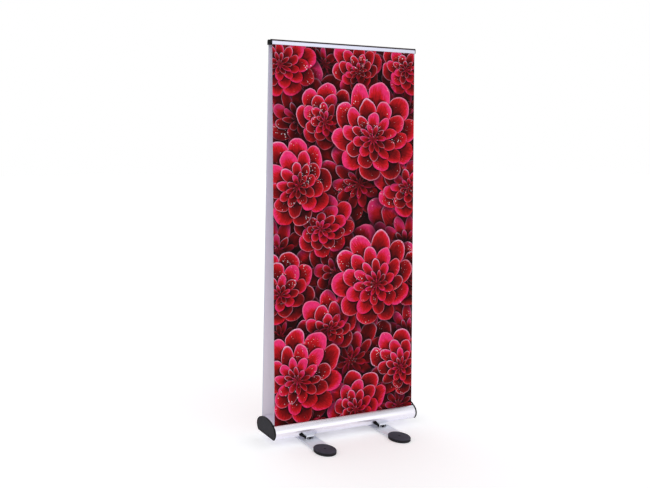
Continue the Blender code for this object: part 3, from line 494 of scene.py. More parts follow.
def petal_colour(nodes, settings, flat, ring, turn, number, petals, facing, light):
    """Shades the petal that a point is on: rim, body, hollow under the next petal, and veins."""
    whole = nodes.math("FLOOR", ring)
    part = nodes.math("FRACT", ring)
    near, near_across = across_petal(nodes, turn, ring_shift(nodes, whole))
    next_ring = nodes.plus(whole, 1.0)
    far, far_across = across_petal(nodes, turn, ring_shift(nodes, next_ring))
    near_edge = petal_edge(nodes, near_across)
    on_near = nodes.math("LESS_THAN", part, near_edge)
    far_rim = nodes.minus(nodes.plus(petal_edge(nodes, far_across), 1.0), part)
    rim = nodes.pick(on_near, far_rim, nodes.minus(near_edge, part))
    beyond = nodes.minus(part, near_edge)
    under = nodes.pick(on_near, nodes.between(beyond, 0.0, 0.5, 0.24, 1.0, True), 1.0)
    across = nodes.pick(on_near, far, near)
    level = nodes.pick(on_near, next_ring, whole)
    slot = nodes.math("FLOORED_MODULO", nodes.math("ROUND", nodes.minus(turn, across)), petals)
    chance = nodes.add("TexWhiteNoise", (nodes.joined(level, slot, number),)).outputs[0]
    vein = nodes.noise(nodes.joined(nodes.times(across, 9.0), ring, chance), 2.4, 4.0, 0.6)
    mottle = nodes.noise(flat, 48.0, 5.0, 0.7)
    depth = nodes.times_plus(nodes.minus(chance, 0.5), 0.7, rim)
    depth = nodes.times_plus(nodes.minus(vein, 0.5), 1.1, depth)
    depth = nodes.times_plus(across, 0.7, depth)
    depth = nodes.times_plus(facing, -0.22, depth)
    body = nodes.ramp(nodes.between(depth, -0.15, 1.6),
                      ((0.0, settings.pink), (0.22, settings.crimson), (0.55, settings.deep),
                       (1.0, settings.gap)))
    edge = nodes.between(nodes.times_plus(vein, 0.10, rim), 0.05, 0.20, 1.0, 0.0, True)
    glint = nodes.times_plus(facing, 0.35, nodes.between(chance, 0.0, 1.0, 0.05, 0.75))
    edge = nodes.times(edge, nodes.math("MAXIMUM", glint, 0.0))
    body = nodes.mix(edge, body, settings.rim)
    heart = nodes.between(ring, 0.2, 3.0, 0.50, 1.0, True)
    lit = nodes.times(nodes.times(under, light), heart)
    lit = nodes.times(lit, nodes.between(mottle, 0.2, 0.8, 0.70, 1.30))
    body = nodes.mix(1.0, body, nodes.joined(lit, lit, lit), "MULTIPLY")
    empty = nodes.math("GREATER_THAN", ring, settings.rings + 0.5)
    return nodes.mix(dew(nodes, flat, lit), nodes.mix(empty, body, settings.gap), settings.dew)


def dew(nodes, flat, lit):
    """Where small pale drops lie, in clusters on the lit petals."""
    drops = nodes.cells(flat, 120.0)
    sizes = nodes.parts(drops["Color"])[0]
    cluster = nodes.between(nodes.noise(flat, 7.0, 3.0, 0.6), 0.47, 0.62, 0.0, 0.42)
    reach = nodes.times(cluster, nodes.math("POWER", sizes, 1.6))
    inside = nodes.minus(reach, drops["Distance"])
    return nodes.times(nodes.between(inside, 0.0, 0.06, 0.0, 0.85, True),
                      nodes.between(lit, 0.2, 0.7, 0.0, 0.9))


def print_finish(name, settings):
    """The printed side: satin film with its print."""
    roughness = settings.roughness
    finish, nodes, shader = new_finish(name, roughness, 0.0, 0.06)
    grain = nodes.noise(nodes.place(), 700.0, 2.0)
    rough = nodes.between(grain, 0.3, 0.7, roughness - 0.05, roughness + 0.05)
    coat(nodes, shader, print_colour(nodes, settings), rough, grain, 0.15, FILM_RELIEF)
    return finish


def back_finish(name, settings):
    """The unprinted side: pale grey film with a paler margin at its two long edges, and painted
    light that makes it paler towards the bottom.
    """
    roughness = settings.roughness
    finish, nodes, shader = new_finish(name, roughness, 0.0, 0.25)
    place = nodes.place()
    x, _, z = nodes.parts(place)
    margin = nodes.between(nodes.math("ABSOLUTE", x), film_high.x - 0.005, film_high.x - 0.0035)
    cloud = nodes.noise(place, 2.2, 3.0, 0.6)
    weave = nodes.noise(nodes.stretched(place, (1, 1, 0.25)), 420.0, 2.0)
    tone = nodes.blend(cloud, 0.7, weave)
    # Painted light: the unprinted side is up to 1.18 times paler low down than at the top, as if
    # more light reached it there.
    low = nodes.between(z, 0.3, 1.7, 1.0, 0.0)
    shade = nodes.mix(low, settings.back, tinted(settings.back, 1.18))
    shade = nodes.mix(nodes.between(tone, 0.35, 0.65, 0.06, 0.0), shade, (0.5, 0.5, 0.55))
    rough = nodes.between(weave, 0.3, 0.7, roughness - 0.04, roughness + 0.06)
    coat(nodes, shader, nodes.mix(margin, shade, settings.edge), rough, weave, 0.2, FILM_RELIEF)
    return finish


def edge_finish(name, settings):
    """The film's cut edge."""
    finish, nodes, shader = new_finish(name, settings.roughness, 0.0, 0.25)
    fibre = nodes.noise(nodes.stretched(nodes.place(), (1, 1, 0.2)), 900.0, 2.0)
    shade = nodes.mix(fibre, tinted(settings.edge, 0.9), settings.edge)
    nodes.feed(shader.inputs["Base Color"], shade)
    return finish


def finish_named(name):
    """The stand's finishes, each made when it is first asked for."""
    ready = bpy.data.materials.get(name)
    if ready:
        return ready
    metal = bpy.context.scene.banner_metal
    moulding = bpy.context.scene.banner_moulding
    film = bpy.context.scene.banner_film
    # Metals: colour, roughness, the lines' axis and depth, metallic, specular
    # Mouldings: colour, roughness, the grain's size and depth, specular
    makers = {
        "anodised_x": (metal_finish, metal.anodised, metal.roughness, "X"),
        "anodised_y": (metal_finish, metal.anodised, metal.roughness, "Y"),
        "anodised_z": (metal_finish, metal.anodised, metal.roughness, "Z"),
        "clamp_strip": (metal_finish, metal.clamp, metal.roughness, "X"),
        "dark_rail": (metal_finish, metal.dark, 0.4, "X", 0.00002, 0.8, 0.2),
        "brushed_bar": (metal_finish, metal.bar, 0.50, "Y", 0.00002, 0.15),
        "zinc": (metal_finish, metal.steel, 0.38, "Z", 0.00004),
        "blackened": (metal_finish, metal.blackened, 0.45, "X", 0.00003),
        "cap_face": (moulded_finish, moulding.face, 0.62, 0.0011, 0.00006, 0.1),
        "moulding_side": (moulded_finish, moulding.side, 0.42, 0.0014, 0.00003, 0.1),
        "rail_cap": (moulded_finish, moulding.side, 0.5, 0.0014, 0.00003, 0.02),
        "pad_top": (moulded_finish, moulding.rubber, 0.72, 0.0016, 0.0001, 0.2),
        # The pads' sides: a darker copy of the rubber, painted shade.
        "pad_side": (moulded_finish, moulding.rubber_painted_shade, 0.66, 0.0016, 0.00005, 0.2),
        "printed_face": (print_finish, film),
        "unprinted_face": (back_finish, film),
        "film_edge": (edge_finish, film),
    }
    maker, *settings = makers[name]
    return maker(name, *settings)


# Tools for modelling

MERGE_DISTANCE = 0.000002
SMOOTH_ANGLE = 30


def on_its_own(piece):
    bpy.ops.object.select_all(action="DESELECT")
    piece.select_set(True)
    bpy.context.view_layer.objects.active = piece


def begin(name, add, **settings):
    """Adds a primitive with nothing else selected, and opens it for editing."""
    bpy.ops.object.select_all(action="DESELECT")
    add(**settings)
    piece = bpy.context.object
    piece.name = name
    piece.data.name = name
    bpy.context.tool_settings.mesh_select_mode = (True, False, False)
    bpy.ops.object.mode_set(mode="EDIT")
    return piece


def close_shape(piece):
    """Merges doubles, points the faces outwards and puts the piece's place in its mesh."""
    bpy.ops.mesh.select_all(action="SELECT")
    bpy.ops.mesh.remove_doubles(threshold=MERGE_DISTANCE)
    bpy.ops.mesh.normals_make_consistent(inside=False)
    bpy.ops.object.mode_set(mode="OBJECT")
    on_its_own(piece)
    bpy.ops.object.transform_apply(location=True, rotation=True, scale=True)
    return piece


def drawn(name, outline, start, end, axis="X"):
    """Walks a flat outline corner by corner, fills it, and draws it out along X or Y."""
    corners = [Vector((start, across, up) if axis == "X" else (across, start, up))
               for across, up in outline]
    piece = begin(name, bpy.ops.mesh.primitive_plane_add, size=0.001, location=corners[0])
    bpy.ops.mesh.merge(type="CENTER")
    for here, there in zip(corners, corners[1:] + corners[:1]):
        bpy.ops.mesh.extrude_vertices_move(TRANSFORM_OT_translate={"value": there - here})
    bpy.ops.mesh.select_all(action="SELECT")
    bpy.ops.mesh.remove_doubles(threshold=MERGE_DISTANCE)
    bpy.ops.mesh.edge_face_add()
    draw = (end - start, 0, 0) if axis == "X" else (0, end - start, 0)
    bpy.ops.mesh.extrude_region_move(TRANSFORM_OT_translate={"value": draw})
    return close_shape(piece)


def raised(place, height):
    return Vector(place) + Vector((0, 0, height))


def stacked(name, rims, centre, sides, ring=False):
    """Stacks oval rims of two half widths and a height into a solid, or with ring a hollow one."""
    wide, deep, height = rims[0]
    piece = begin(name, bpy.ops.mesh.primitive_circle_add, vertices=sides, radius=wide,
                  fill_type="NOTHING" if ring else "NGON", location=raised(centre, height))
    extrude = bpy.ops.mesh.extrude_edges_move if ring else bpy.ops.mesh.extrude_region_move

    def grow(x, y, level):
        if (x, y) != (1, 1):
            bpy.ops.transform.resize(value=(x, y, 1), center_override=raised(centre, level))

    grow(1, deep / wide, height)
    for next_wide, next_deep, next_height in rims[1:] + (rims[:1] if ring else []):
        extrude(TRANSFORM_OT_translate={"value": (0, 0, next_height - height)})
        grow(next_wide / wide, next_deep / deep, next_height)
        wide, deep, height = next_wide, next_deep, next_height
    return close_shape(piece)


def turned(name, profile, centre=(0, 0, 0), sides=64, ring=False):
    """Turns a profile of radius and height about the upright axis."""
    rims = [(radius, radius, height) for radius, height in profile]
    return stacked(name, rims, centre, sides, ring)


def oval(name, profile, half_x, half_y, centre, sides):
    """A solid with oval levels, from a profile of insets from its rim and heights."""
    rims = [(half_x - inset, half_y - inset, height) for inset, height in profile]
    return stacked(name, rims, centre, sides)


def block(name, low, high):
    """A box between two corners, used to cut others."""
    low = Vector(low)
    size = Vector(high) - low
    piece = begin(name, bpy.ops.mesh.primitive_cube_add, size=1, location=low + size / 2)
    bpy.ops.transform.resize(value=size, center_override=low + size / 2)
    return close_shape(piece)


def rod(name, start, end, radius, sides=32):
    """A round bar between two points, used to cut others."""
    start = Vector(start)
    run = Vector(end) - start
    turn = run.to_track_quat("Z", "Y").to_euler()
    piece = begin(name, bpy.ops.mesh.primitive_cylinder_add, vertices=sides, radius=radius,
                  depth=run.length, location=start + run / 2, rotation=turn)
    return close_shape(piece)


def apply_modifiers(piece):
    on_its_own(piece)
    for step in list(piece.modifiers):
        bpy.ops.object.modifier_apply(modifier=step.name)


def combine(piece, other, operation):
    """Works one piece into another with a Boolean, and removes it."""
    step = piece.modifiers.new("combined", "BOOLEAN")
    step.operation = operation
    step.solver = "EXACT"
    step.object = other
    apply_modifiers(piece)
    bpy.data.objects.remove(other, do_unlink=True)


def cut(piece, *cutters):
    for cutter in cutters:
        combine(piece, cutter, "DIFFERENCE")


def join(piece, other):
    combine(piece, other, "UNION")


def soften(piece, width, segments=3, angle=35):
    """Rounds the sharp edges of a piece."""
    step = piece.modifiers.new("rounded", "BEVEL")
    step.width = width
    step.segments = segments
    step.limit_method = "ANGLE"
    step.angle_limit = radians(angle)
    step.use_clamp_overlap = True
    apply_modifiers(piece)


def finished(piece, body, finish, node):
    """Shades a piece, gives it its finish and puts it on its body in place of its solid."""
    on_its_own(piece)
    bpy.ops.object.shade_smooth_by_angle(angle=radians(SMOOTH_ANGLE))
    if finish:
        piece.data.materials.clear()
        piece.data.materials.append(finish_named(finish))
    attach(piece, body)
    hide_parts(node)


def copied(piece, name, place):
    """A copy with a mesh of its own, moved or turned into its place."""
    twin = piece.copy()
    twin.data = piece.data.copy()
    twin.name = name
    twin.data.name = name
    bpy.context.scene.collection.objects.link(twin)
    twin.data.transform(place)
    return twin


def moved(x=0.0, y=0.0, z=0.0):
    return Matrix.Translation((x, y, z))


def half_turn():
    return Matrix.Rotation(pi, 4, "Z")


def finished_pair(piece, twin, bodies, slot, finish, *nodes):
    """Finishes a piece and its copy half a turn round, each on its own body."""
    pair = (piece, copied(piece, twin, half_turn()))
    for one, body, node in zip(pair, bodies, nodes):
        finished(one, body, finish, node)
    return pair


def each_foot():
    """Each foot's name, its side along Y and its middle along X."""
    for side, place, reach_x in ((-1, "front", FRONT_FOOT_X), (1, "back", BACK_FOOT_X)):
        for x_side, word in ((-1, "left"), (1, "right")):
            yield "%s_%s_foot" % (place, word), side, x_side * reach_x


def dress(finish, *nodes):
    """Gives solids that stay as they are one of the finishes."""
    for name in nodes:
        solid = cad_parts[name]
        solid.data.materials.clear()
        solid.data.materials.append(finish_named(finish))


def arc(centre, radius, first, last, steps):
    turn = [radians(first + (last - first) * i / steps) for i in range(steps + 1)]
    return [(centre[0] + radius * cos(a), centre[1] + radius * sin(a)) for a in turn]


def oval_arc(depth, rise, first_y, last_y, steps):
    """Points on a half ellipse at the cassette's waist; a negative rise hangs down."""
    first = acos(min(1.0, first_y / depth))
    last = acos(min(1.0, last_y / depth))
    turn = [first + (last - first) * i / steps for i in range(steps + 1)]
    return [(depth * cos(a), WAIST_Z + rise * sin(a)) for a in turn]


def mirrored(half):
    """Closes a half section, drawn from top centre to bottom centre, with its mirror image."""
    return half + [(-y, z) for y, z in reversed(half) if y > GAP]


def floor_y(depth, drop, height):
    return depth * sqrt(1 - ((WAIST_Z - height) / drop) ** 2)


def cassette_outline():
    """The extrusion's section without its middle cell: top, slots, chambers, webs and underside."""
    rise = CASSETTE_TOP_Z - WAIST_Z
    drop = LOWER_DROP
    inner = HALF_DEPTH - WALL
    floor = UNDERSIDE_Z + WALL
    block_y = WEB_Y + PORT_BLOCK
    half = oval_arc(HALF_DEPTH, rise, 0, SLOT_INNER_Y, 22)
    half += oval_arc(inner, rise - WALL, SLOT_INNER_Y, WEB_Y, 12)
    half += [(WEB_Y, floor + PORT_BLOCK), (block_y, floor + PORT_BLOCK), (block_y, floor)]
    half += oval_arc(inner, WALL - drop, floor_y(inner, drop - WALL, floor), inner, 10)
    half += oval_arc(inner, rise - WALL, inner, SLOT_OUTER_Y, 10)[1:]
    half += oval_arc(HALF_DEPTH, rise, SLOT_OUTER_Y, HALF_DEPTH, 22)
    half += oval_arc(HALF_DEPTH, -drop, HALF_DEPTH, floor_y(HALF_DEPTH, drop, UNDERSIDE_Z), 20)[1:]
    return mirrored(half)


def cassette_oval(margin):
    """The cassette's outer outline, grown by a margin."""
    depth = HALF_DEPTH + margin
    drop = LOWER_DROP + margin
    half = oval_arc(depth, CASSETTE_TOP_Z - WAIST_Z + margin, 0, depth, 44)
    half += oval_arc(depth, -drop, depth, floor_y(depth, drop, UNDERSIDE_Z - margin), 20)[1:]
    return mirrored(half)


class BANNER_OT_cassette(bpy.types.Operator):
    """Build the cassette's extrusion, with its slots, chambers and the mouth for the mast"""
    bl_idname = "banner.cassette"
    bl_label = "Cassette"

    def execute(self, context):
        end = CAP_INNER_X - GAP
        shell = drawn("cassette_extrusion", cassette_outline(), -end, end)
        soften(shell, 0.0005, 2, 50)
        cell_y = WEB_Y - WALL
        rise = CASSETTE_TOP_Z - WAIST_Z
        cell = oval_arc(HALF_DEPTH - WALL, rise - WALL, 0, cell_y, 8)
        cell += [(cell_y, UNDERSIDE_Z + WALL)]
        cutters = [drawn("cell", mirrored(cell), -1, 1)]
        mouth = ((-MOUTH_X, -MOUTH_Y, PIVOT_Z), (MOUTH_X, MOUTH_Y, CASSETTE_TOP_Z + WALL))
        cutters.append(block("mouth", *mouth))
        for y in (-PORT_Y, PORT_Y):
            cutters.append(rod("port", (-1, y, PORT_Z), (1, y, PORT_Z), PORT_RADIUS, 16))
        cut(shell, *cutters)
        finished(shell, "root", "anodised_x", "cassette_housing")
        return {"FINISHED"}


class BANNER_OT_end_caps(bpy.types.Operator):
    """Build the two moulded end caps and the four blackened screws in them"""
    bl_idname = "banner.end_caps"
    bl_label = "End caps"

    def execute(self, context):
        finished_pair(self.cap(), "right_cap_moulding", ("root", "root"), "black_plastic", None,
                      "left_end_cap", "right_end_cap")
        self.screws()
        return {"FINISHED"}

    def cap(self):
        cap = drawn("left_cap_moulding", cassette_oval(CAP_MARGIN), -CAP_OUTER_X, -CAP_INNER_X)
        soften(cap, 0.0014, 4, 50)
        field_x = CAP_RECESS - CAP_OUTER_X
        cut(cap, drawn("field", cassette_oval(CAP_MARGIN - CAP_RIM), -CAP_OUTER_X - 0.01, field_x))
        self.drill(cap)
        for name in ("moulding_side", "cap_face"):
            cap.data.materials.append(finish_named(name))
        for face in cap.data.polygons:
            flat = face.normal.x < -0.99 and abs(face.center.x - field_x) < 0.0002
            face.material_index = 1 if flat else 0
        return cap

    def drill(self, cap):
        """Notches where the films go in, holes and sinks for the screws, bearings for the axles."""
        start = -CAP_OUTER_X - 0.010
        end = -CAP_INNER_X + 0.010
        for side in (-1, 1):
            notch_y = side * (SLOT_INNER_Y + SLOT_OUTER_Y) / 2
            port = (side * PORT_Y, PORT_Z)
            axle = (side * ROLLER_Y, ROLLER_Z)
            cut(cap,
                block("notch", (start, notch_y - NOTCH_HALF, NOTCH_LOW_Z),
                      (end, notch_y + NOTCH_HALF, NOTCH_HIGH_Z)),
                rod("hole", (start, *port), (end, *port), PORT_RADIUS),
                rod("sink", (start, *port), (-SCREW_SEAT_X, *port), SCREW_HEAD + 0.0004, 48),
                rod("bearing", (-CAP_INNER_X - 0.005, *axle), (end, *axle), AXLE_BORE))

    def screws(self):
        """One pan-head screw with a cross recess, made upright and laid into its four places."""
        head = SCREW_HEAD
        shank = PORT_RADIUS - GAP
        screw = turned("cap_screw", [(shank, -0.016), (shank, 0), (head, 0), (head, 0.0009),
                                     (head - 0.0004, 0.0016), (head - 0.0012, 0.0020),
                                     (head - 0.0026, 0.0022)], sides=40)
        reach = 0.0024
        cut(screw, block("slot_a", (-reach, -0.0004, 0.0010), (reach, 0.0004, 0.01)),
            block("slot_b", (-0.0004, -reach, 0.0010), (0.0004, reach, 0.01)))
        for side, word in ((-1, "left"), (1, "right")):
            lay = Matrix.Rotation(side * radians(90), 4, "Y")
            for sign, place in ((-1, "front"), (1, "back")):
                spot = moved(side * (SCREW_SEAT_X + GAP), sign * PORT_Y, PORT_Z)
                twin = copied(screw, "%s_%s_screw" % (word, place), spot @ lay)
                finished(twin, "root", "blackened", "%s_%s_cap_screw" % (word, place))
        bpy.data.objects.remove(screw, do_unlink=True)


class BANNER_OT_top_rail(bpy.types.Operator):
    """Build the top rail: its dark core, the two clamp strips and the two end caps"""
    bl_idname = "banner.top_rail"
    bl_label = "Top rail"

    def execute(self, context):
        core = drawn("rail_core", mirrored(self.core_half()), -RAIL_END_X, RAIL_END_X)
        soften(core, 0.0003, 2, 40)
        low = RAIL_BOTTOM_Z + 0.0025
        high = RAIL_BOTTOM_Z + 0.0155
        chamber = [(0.0140, high), (0.0160, high - 0.003), (0.0180, high - 0.006), (0.0180, low)]
        cut(core, drawn("chamber", mirrored(chamber), -1, 1))
        finished(core, "mast", "dark_rail", "top_rail_core")
        front = drawn("front_clamp_strip", self.clamp_outline(), -RAIL_END_X, RAIL_END_X)
        soften(front, 0.0002, 2, 40)
        finished_pair(front, "back_clamp_strip", ("front_clamp", "back_clamp"), "anodised",
                      "clamp_strip", "front_rail_clamp", "back_rail_clamp")
        start = RAIL_END_X + GAP
        left = drawn("left_rail_end", self.cap_outline(), -start - 0.004, -start)
        soften(left, 0.0006, 3, 30)
        finished_pair(left, "right_rail_end", ("mast", "mast"), "black_plastic", "rail_cap",
                      "left_rail_cap", "right_rail_cap")
        return {"FINISHED"}

    def core_half(self):
        top = RAIL_TOP_Z
        half = [(0.0035, top - 0.0075), (0.0085, top - 0.001), (0.0105, top), (0.0180, top),
                (0.0200, top - 0.001), (BEAD_Y, top - 0.003)]
        half += arc((BEAD_Y, BEAD_Z), BEAD_RADIUS + GAP, 90, 325, 24)
        lip = half[-1]
        half += [(lip[0], lip[1] - 0.0012), (0.0215, lip[1] - 0.0022),
                 (0.0215, RAIL_BOTTOM_Z + 0.001), (0.0205, RAIL_BOTTOM_Z)]
        return half

    def clamp_outline(self):
        """The front strip's section: face plate, neck and the bead that turns in the core."""
        neck_angle = degrees(asin(NECK / 2 / BEAD_RADIUS))
        outer = CLAMP_OUTER_Y
        inner = 0.0240
        low = RAIL_BOTTOM_Z
        outline = [(outer - 0.0008, low), (outer, low + 0.0008), (outer, BEAD_Z)]
        outline += arc((outer - NECK / 2, BEAD_Z), NECK / 2, 0, 90, 5)[1:]
        outline += [(inner, BEAD_Z + NECK / 2)]
        outline += arc((BEAD_Y, BEAD_Z), BEAD_RADIUS, neck_angle, 360 - neck_angle, 24)
        outline += [(inner, BEAD_Z - NECK / 2), (inner, low)]
        return [(-y, z) for y, z in outline]

    def cap_outline(self):
        top = RAIL_TOP_Z
        side_y = CLAMP_OUTER_Y + 0.0004
        half = [(0.0030, top - 0.0085), (0.0080, top - 0.0015), (0.0105, top), (0.0190, top),
                (0.0235, top - 0.0015), (0.0262, top - 0.0045), (side_y, top - 0.008),
                (side_y, RAIL_BOTTOM_Z + 0.001), (side_y - 0.001, RAIL_BOTTOM_Z)]
        return mirrored(half)


class BANNER_OT_mast(bpy.types.Operator):
    """Build the mast: its socket, three tubes plugged into each other and its head"""
    bl_idname = "banner.mast"
    bl_label = "Mast"

    def execute(self, context):
        radius = MAST_RADIUS
        bore = radius - MAST_WALL
        spigot = bore - GAP
        for word in ("lower", "middle", "upper"):
            low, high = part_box("mast_%s_tube" % word)
            plugged = word != "lower"
            foot = low.z + SPIGOT_LENGTH if plugged else low.z
            profile = [(radius - 0.0004, foot), (radius, foot + 0.0004), (radius, high.z - 0.0004),
                       (radius - 0.0004, high.z), (bore, high.z)]
            if plugged:
                inner = spigot - MAST_WALL
                profile += [(bore, foot + 0.004), (inner, foot + 0.002), (inner, low.z),
                            (spigot, low.z), (spigot, foot)]
            else:
                profile += [(bore, foot)]
            tube = turned("%s_mast" % word, profile, ring=True)
            finished(tube, "mast", "anodised_z", "mast_%s_tube" % word)
        self.socket()
        self.head()
        return {"FINISHED"}

    def socket(self):
        """The moulded foot of the mast; it has a collar where the tube goes in."""
        low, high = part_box("mast_socket")
        radius = high.x
        profile = [(radius - 0.004, low.z), (radius, low.z + 0.004), (radius, high.z - 0.012),
                   (radius - 0.001, high.z - 0.011), (radius - 0.001, high.z - 0.009),
                   (radius, high.z - 0.008), (radius, high.z - 0.001), (radius - 0.001, high.z),
                   (MAST_CUP, high.z), (MAST_CUP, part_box("mast_lower_tube")[0].z - GAP)]
        socket = turned("mast_foot", profile)
        cut(socket, rod("pin_bore", (-0.04, 0, PIVOT_Z), (0.04, 0, PIVOT_Z), PIN_BORE))
        finished(socket, "mast", "moulding_side", "mast_socket")

    def head(self):
        """The moulded head, with its cup over the mast's end and its flange under the rail."""
        low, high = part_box("mast_head")
        radius = 0.017
        flange = high.x
        profile = [(MAST_CUP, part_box("mast_upper_tube")[1].z + GAP), (MAST_CUP, low.z),
                   (radius - 0.001, low.z), (radius, low.z + 0.001), (radius, high.z - 0.0035),
                   (flange, high.z - 0.0027), (flange, high.z - 0.0004), (flange - 0.0004, high.z)]
        head = turned("mast_head_moulding", profile)
        finished(head, "mast", "moulding_side", "mast_head")


class BANNER_OT_inner_parts(bpy.types.Operator):
    """Finish the hinge, springs, rollers and sleeves that sit inside and under the cassette"""
    bl_idname = "banner.inner_parts"
    bl_label = "Inner parts"

    def execute(self, context):
        dress("zinc", "pivot_yoke", "pivot_pin", "pivot_pin_ring", "left_mast_spring",
              "right_mast_spring")
        for word in ("front", "back"):
            dress("zinc", word + "_spindle", word + "_roller_spring")
            dress("anodised_x", word + "_roller_tube")
            dress("moulding_side", word + "_roller_left_plug", word + "_roller_right_plug")
            dress("unprinted_face", word + "_wound_film")
        for foot, _, _ in each_foot():
            dress("anodised_y", foot + "_sleeve")
        return {"FINISHED"}


class BANNER_OT_films(bpy.types.Operator):
    """Build the two printed films, each held by the rail and pulled straight through its slot"""
    bl_idname = "banner.films"
    bl_label = "Printed films"

    def execute(self, context):
        settings = context.scene.banner_film
        rise = film_high.z - film_low.z
        run = film_high.y - film_low.y
        lean = atan2(run, rise)
        tall = rise / cos(lean)
        wide = film_high.x - film_low.x
        middle = (film_high + film_low) / 2
        film = begin("front_film", bpy.ops.mesh.primitive_grid_add, x_subdivisions=34,
                     y_subdivisions=80, size=1, location=(0, -middle.y, middle.z),
                     rotation=(radians(90) - lean, 0, 0))
        bpy.ops.object.mode_set(mode="OBJECT")
        film.scale = (wide, tall, 1)
        on_its_own(film)
        bpy.ops.object.transform_apply(location=True, rotation=True, scale=True)
        self.bow(film, settings.cup)
        step = film.modifiers.new("thickness", "SOLIDIFY")
        step.thickness = settings.thickness
        step.offset = 0
        step.material_offset = 1
        step.material_offset_rim = 2
        for name in ("printed_face", "unprinted_face", "film_edge"):
            film.data.materials.append(finish_named(name))
        apply_modifiers(film)
        for piece in finished_pair(film, "back_film", ("mast", "mast"), "printed_film", None,
                                   "front_graphic", "back_graphic"):
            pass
        return {"FINISHED"}

    def bow(self, film, cup):
        """Film under tension is straight at the rail and the slot and a little cupped between."""
        half = film_high.x
        free = RAIL_BOTTOM_Z - CASSETTE_TOP_Z
        for corner in film.data.vertices:
            up = (corner.co.z - CASSETTE_TOP_Z) / free
            if not 0 < up < 1:
                continue
            across = corner.co.x / half
            hold = sin(pi * up) ** 0.8
            ripple = 0.25 * sin(5.3 * across + 1.1) * sin(2 * pi * up + 0.4)
            corner.co.y -= cup * hold * (1 - across * across + ripple)


class BANNER_OT_feet(bpy.types.Operator):
    """Build the four feet: flat bars that slide out, rubber pads and the screws that hold them"""
    bl_idname = "banner.feet"
    bl_label = "Feet"

    def execute(self, context):
        bar, pad, screw = self.front_left()
        left = -FRONT_FOOT_X
        for foot, side, x in each_foot():
            spot = moved(x - left) if side < 0 else moved(x) @ half_turn() @ moved(-left)
            for piece, part, slot, finish in ((bar, "bar", "anodised", "brushed_bar"),
                                              (pad, "pad", "rubber", None),
                                              (screw, "pad_screw", "steel", "blackened")):
                twin = copied(piece, "%s_%s_made" % (foot, part), spot)
                finished(twin, foot, finish, "%s_%s" % (foot, part))
        for piece in (bar, pad, screw):
            bpy.data.objects.remove(piece, do_unlink=True)
        return {"FINISHED"}

    def front_left(self):
        x = -FRONT_FOOT_X
        bar = block("bar", bar_low, bar_high)
        soften(bar, 0.0011, 3)
        cut(bar, rod("bore", (x, -FOOT_REACH, 0), (x, -FOOT_REACH, 0.05), PAD_BORE))
        return bar, self.pad(x), self.screw(x)

    def pad(self, x):
        """The oval rubber pad: a line round its side, a rim on top and a sink for the screw; its
        sides get a darker copy of the rubber, which is painted shade.
        """
        top = PAD_HEIGHT
        profile = [(0.002, 0), (0, 0.003), (0, 0.0075), (0.0007, 0.0082), (0.0007, 0.0090),
                   (0, 0.0097), (0, top - 0.005), (0.0006, top - 0.0030), (0.002, top - 0.0015),
                   (0.006, top), (0.0100, top), (0.0108, top - 0.0007), (0.0122, top - 0.0007),
                   (0.0130, top)]
        pad = oval("pad", profile, PAD_HALF_WIDTH, PAD_HALF_LENGTH, (x, -FOOT_REACH, 0), 96)
        soften(pad, 0.0004, 2, 25)
        sink = turned("sink", [(0.0056, 0.0155), (0.0056, top - 0.0007), (0.0070, top + 0.001)],
                      (x, -FOOT_REACH, 0), 48)
        pocket = (bar_low - Vector((GAP, GAP, GAP)), (bar_high.x + GAP, 0, bar_high.z + GAP))
        cut(pad, block("pocket", *pocket),
            rod("bore", (x, -FOOT_REACH, 0.002), (x, -FOOT_REACH, 0.05), PAD_BORE), sink)
        # Faces that look up and stand above the bar keep the rubber's own colour; all other faces
        # get its darker copy, which is painted shade.
        for name in ("pad_side", "pad_top"):
            pad.data.materials.append(finish_named(name))
        for face in pad.data.polygons:
            face.material_index = 1 if face.normal.z > 0.5 and face.center.z > BAR_TOP_Z else 0
        return pad

    def screw(self, x):
        """The pad's button-head screw, with its hexagon recess."""
        low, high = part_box("front_left_foot_pad_screw")
        seat = high.z - 0.0016
        profile = [(0.0022, low.z), (0.003, low.z + 0.0008), (0.003, seat), (0.005, seat),
                   (0.005, seat + 0.0007), (0.0044, seat + 0.0013), (0.0034, high.z)]
        screw = turned("screw", profile, (x, -FOOT_REACH, 0), 48)
        recess = begin("hexagon", bpy.ops.mesh.primitive_cylinder_add, vertices=6, radius=0.0024,
                       depth=0.006, location=(x, -FOOT_REACH, high.z + 0.0019))
        cut(screw, close_shape(recess))
        return screw


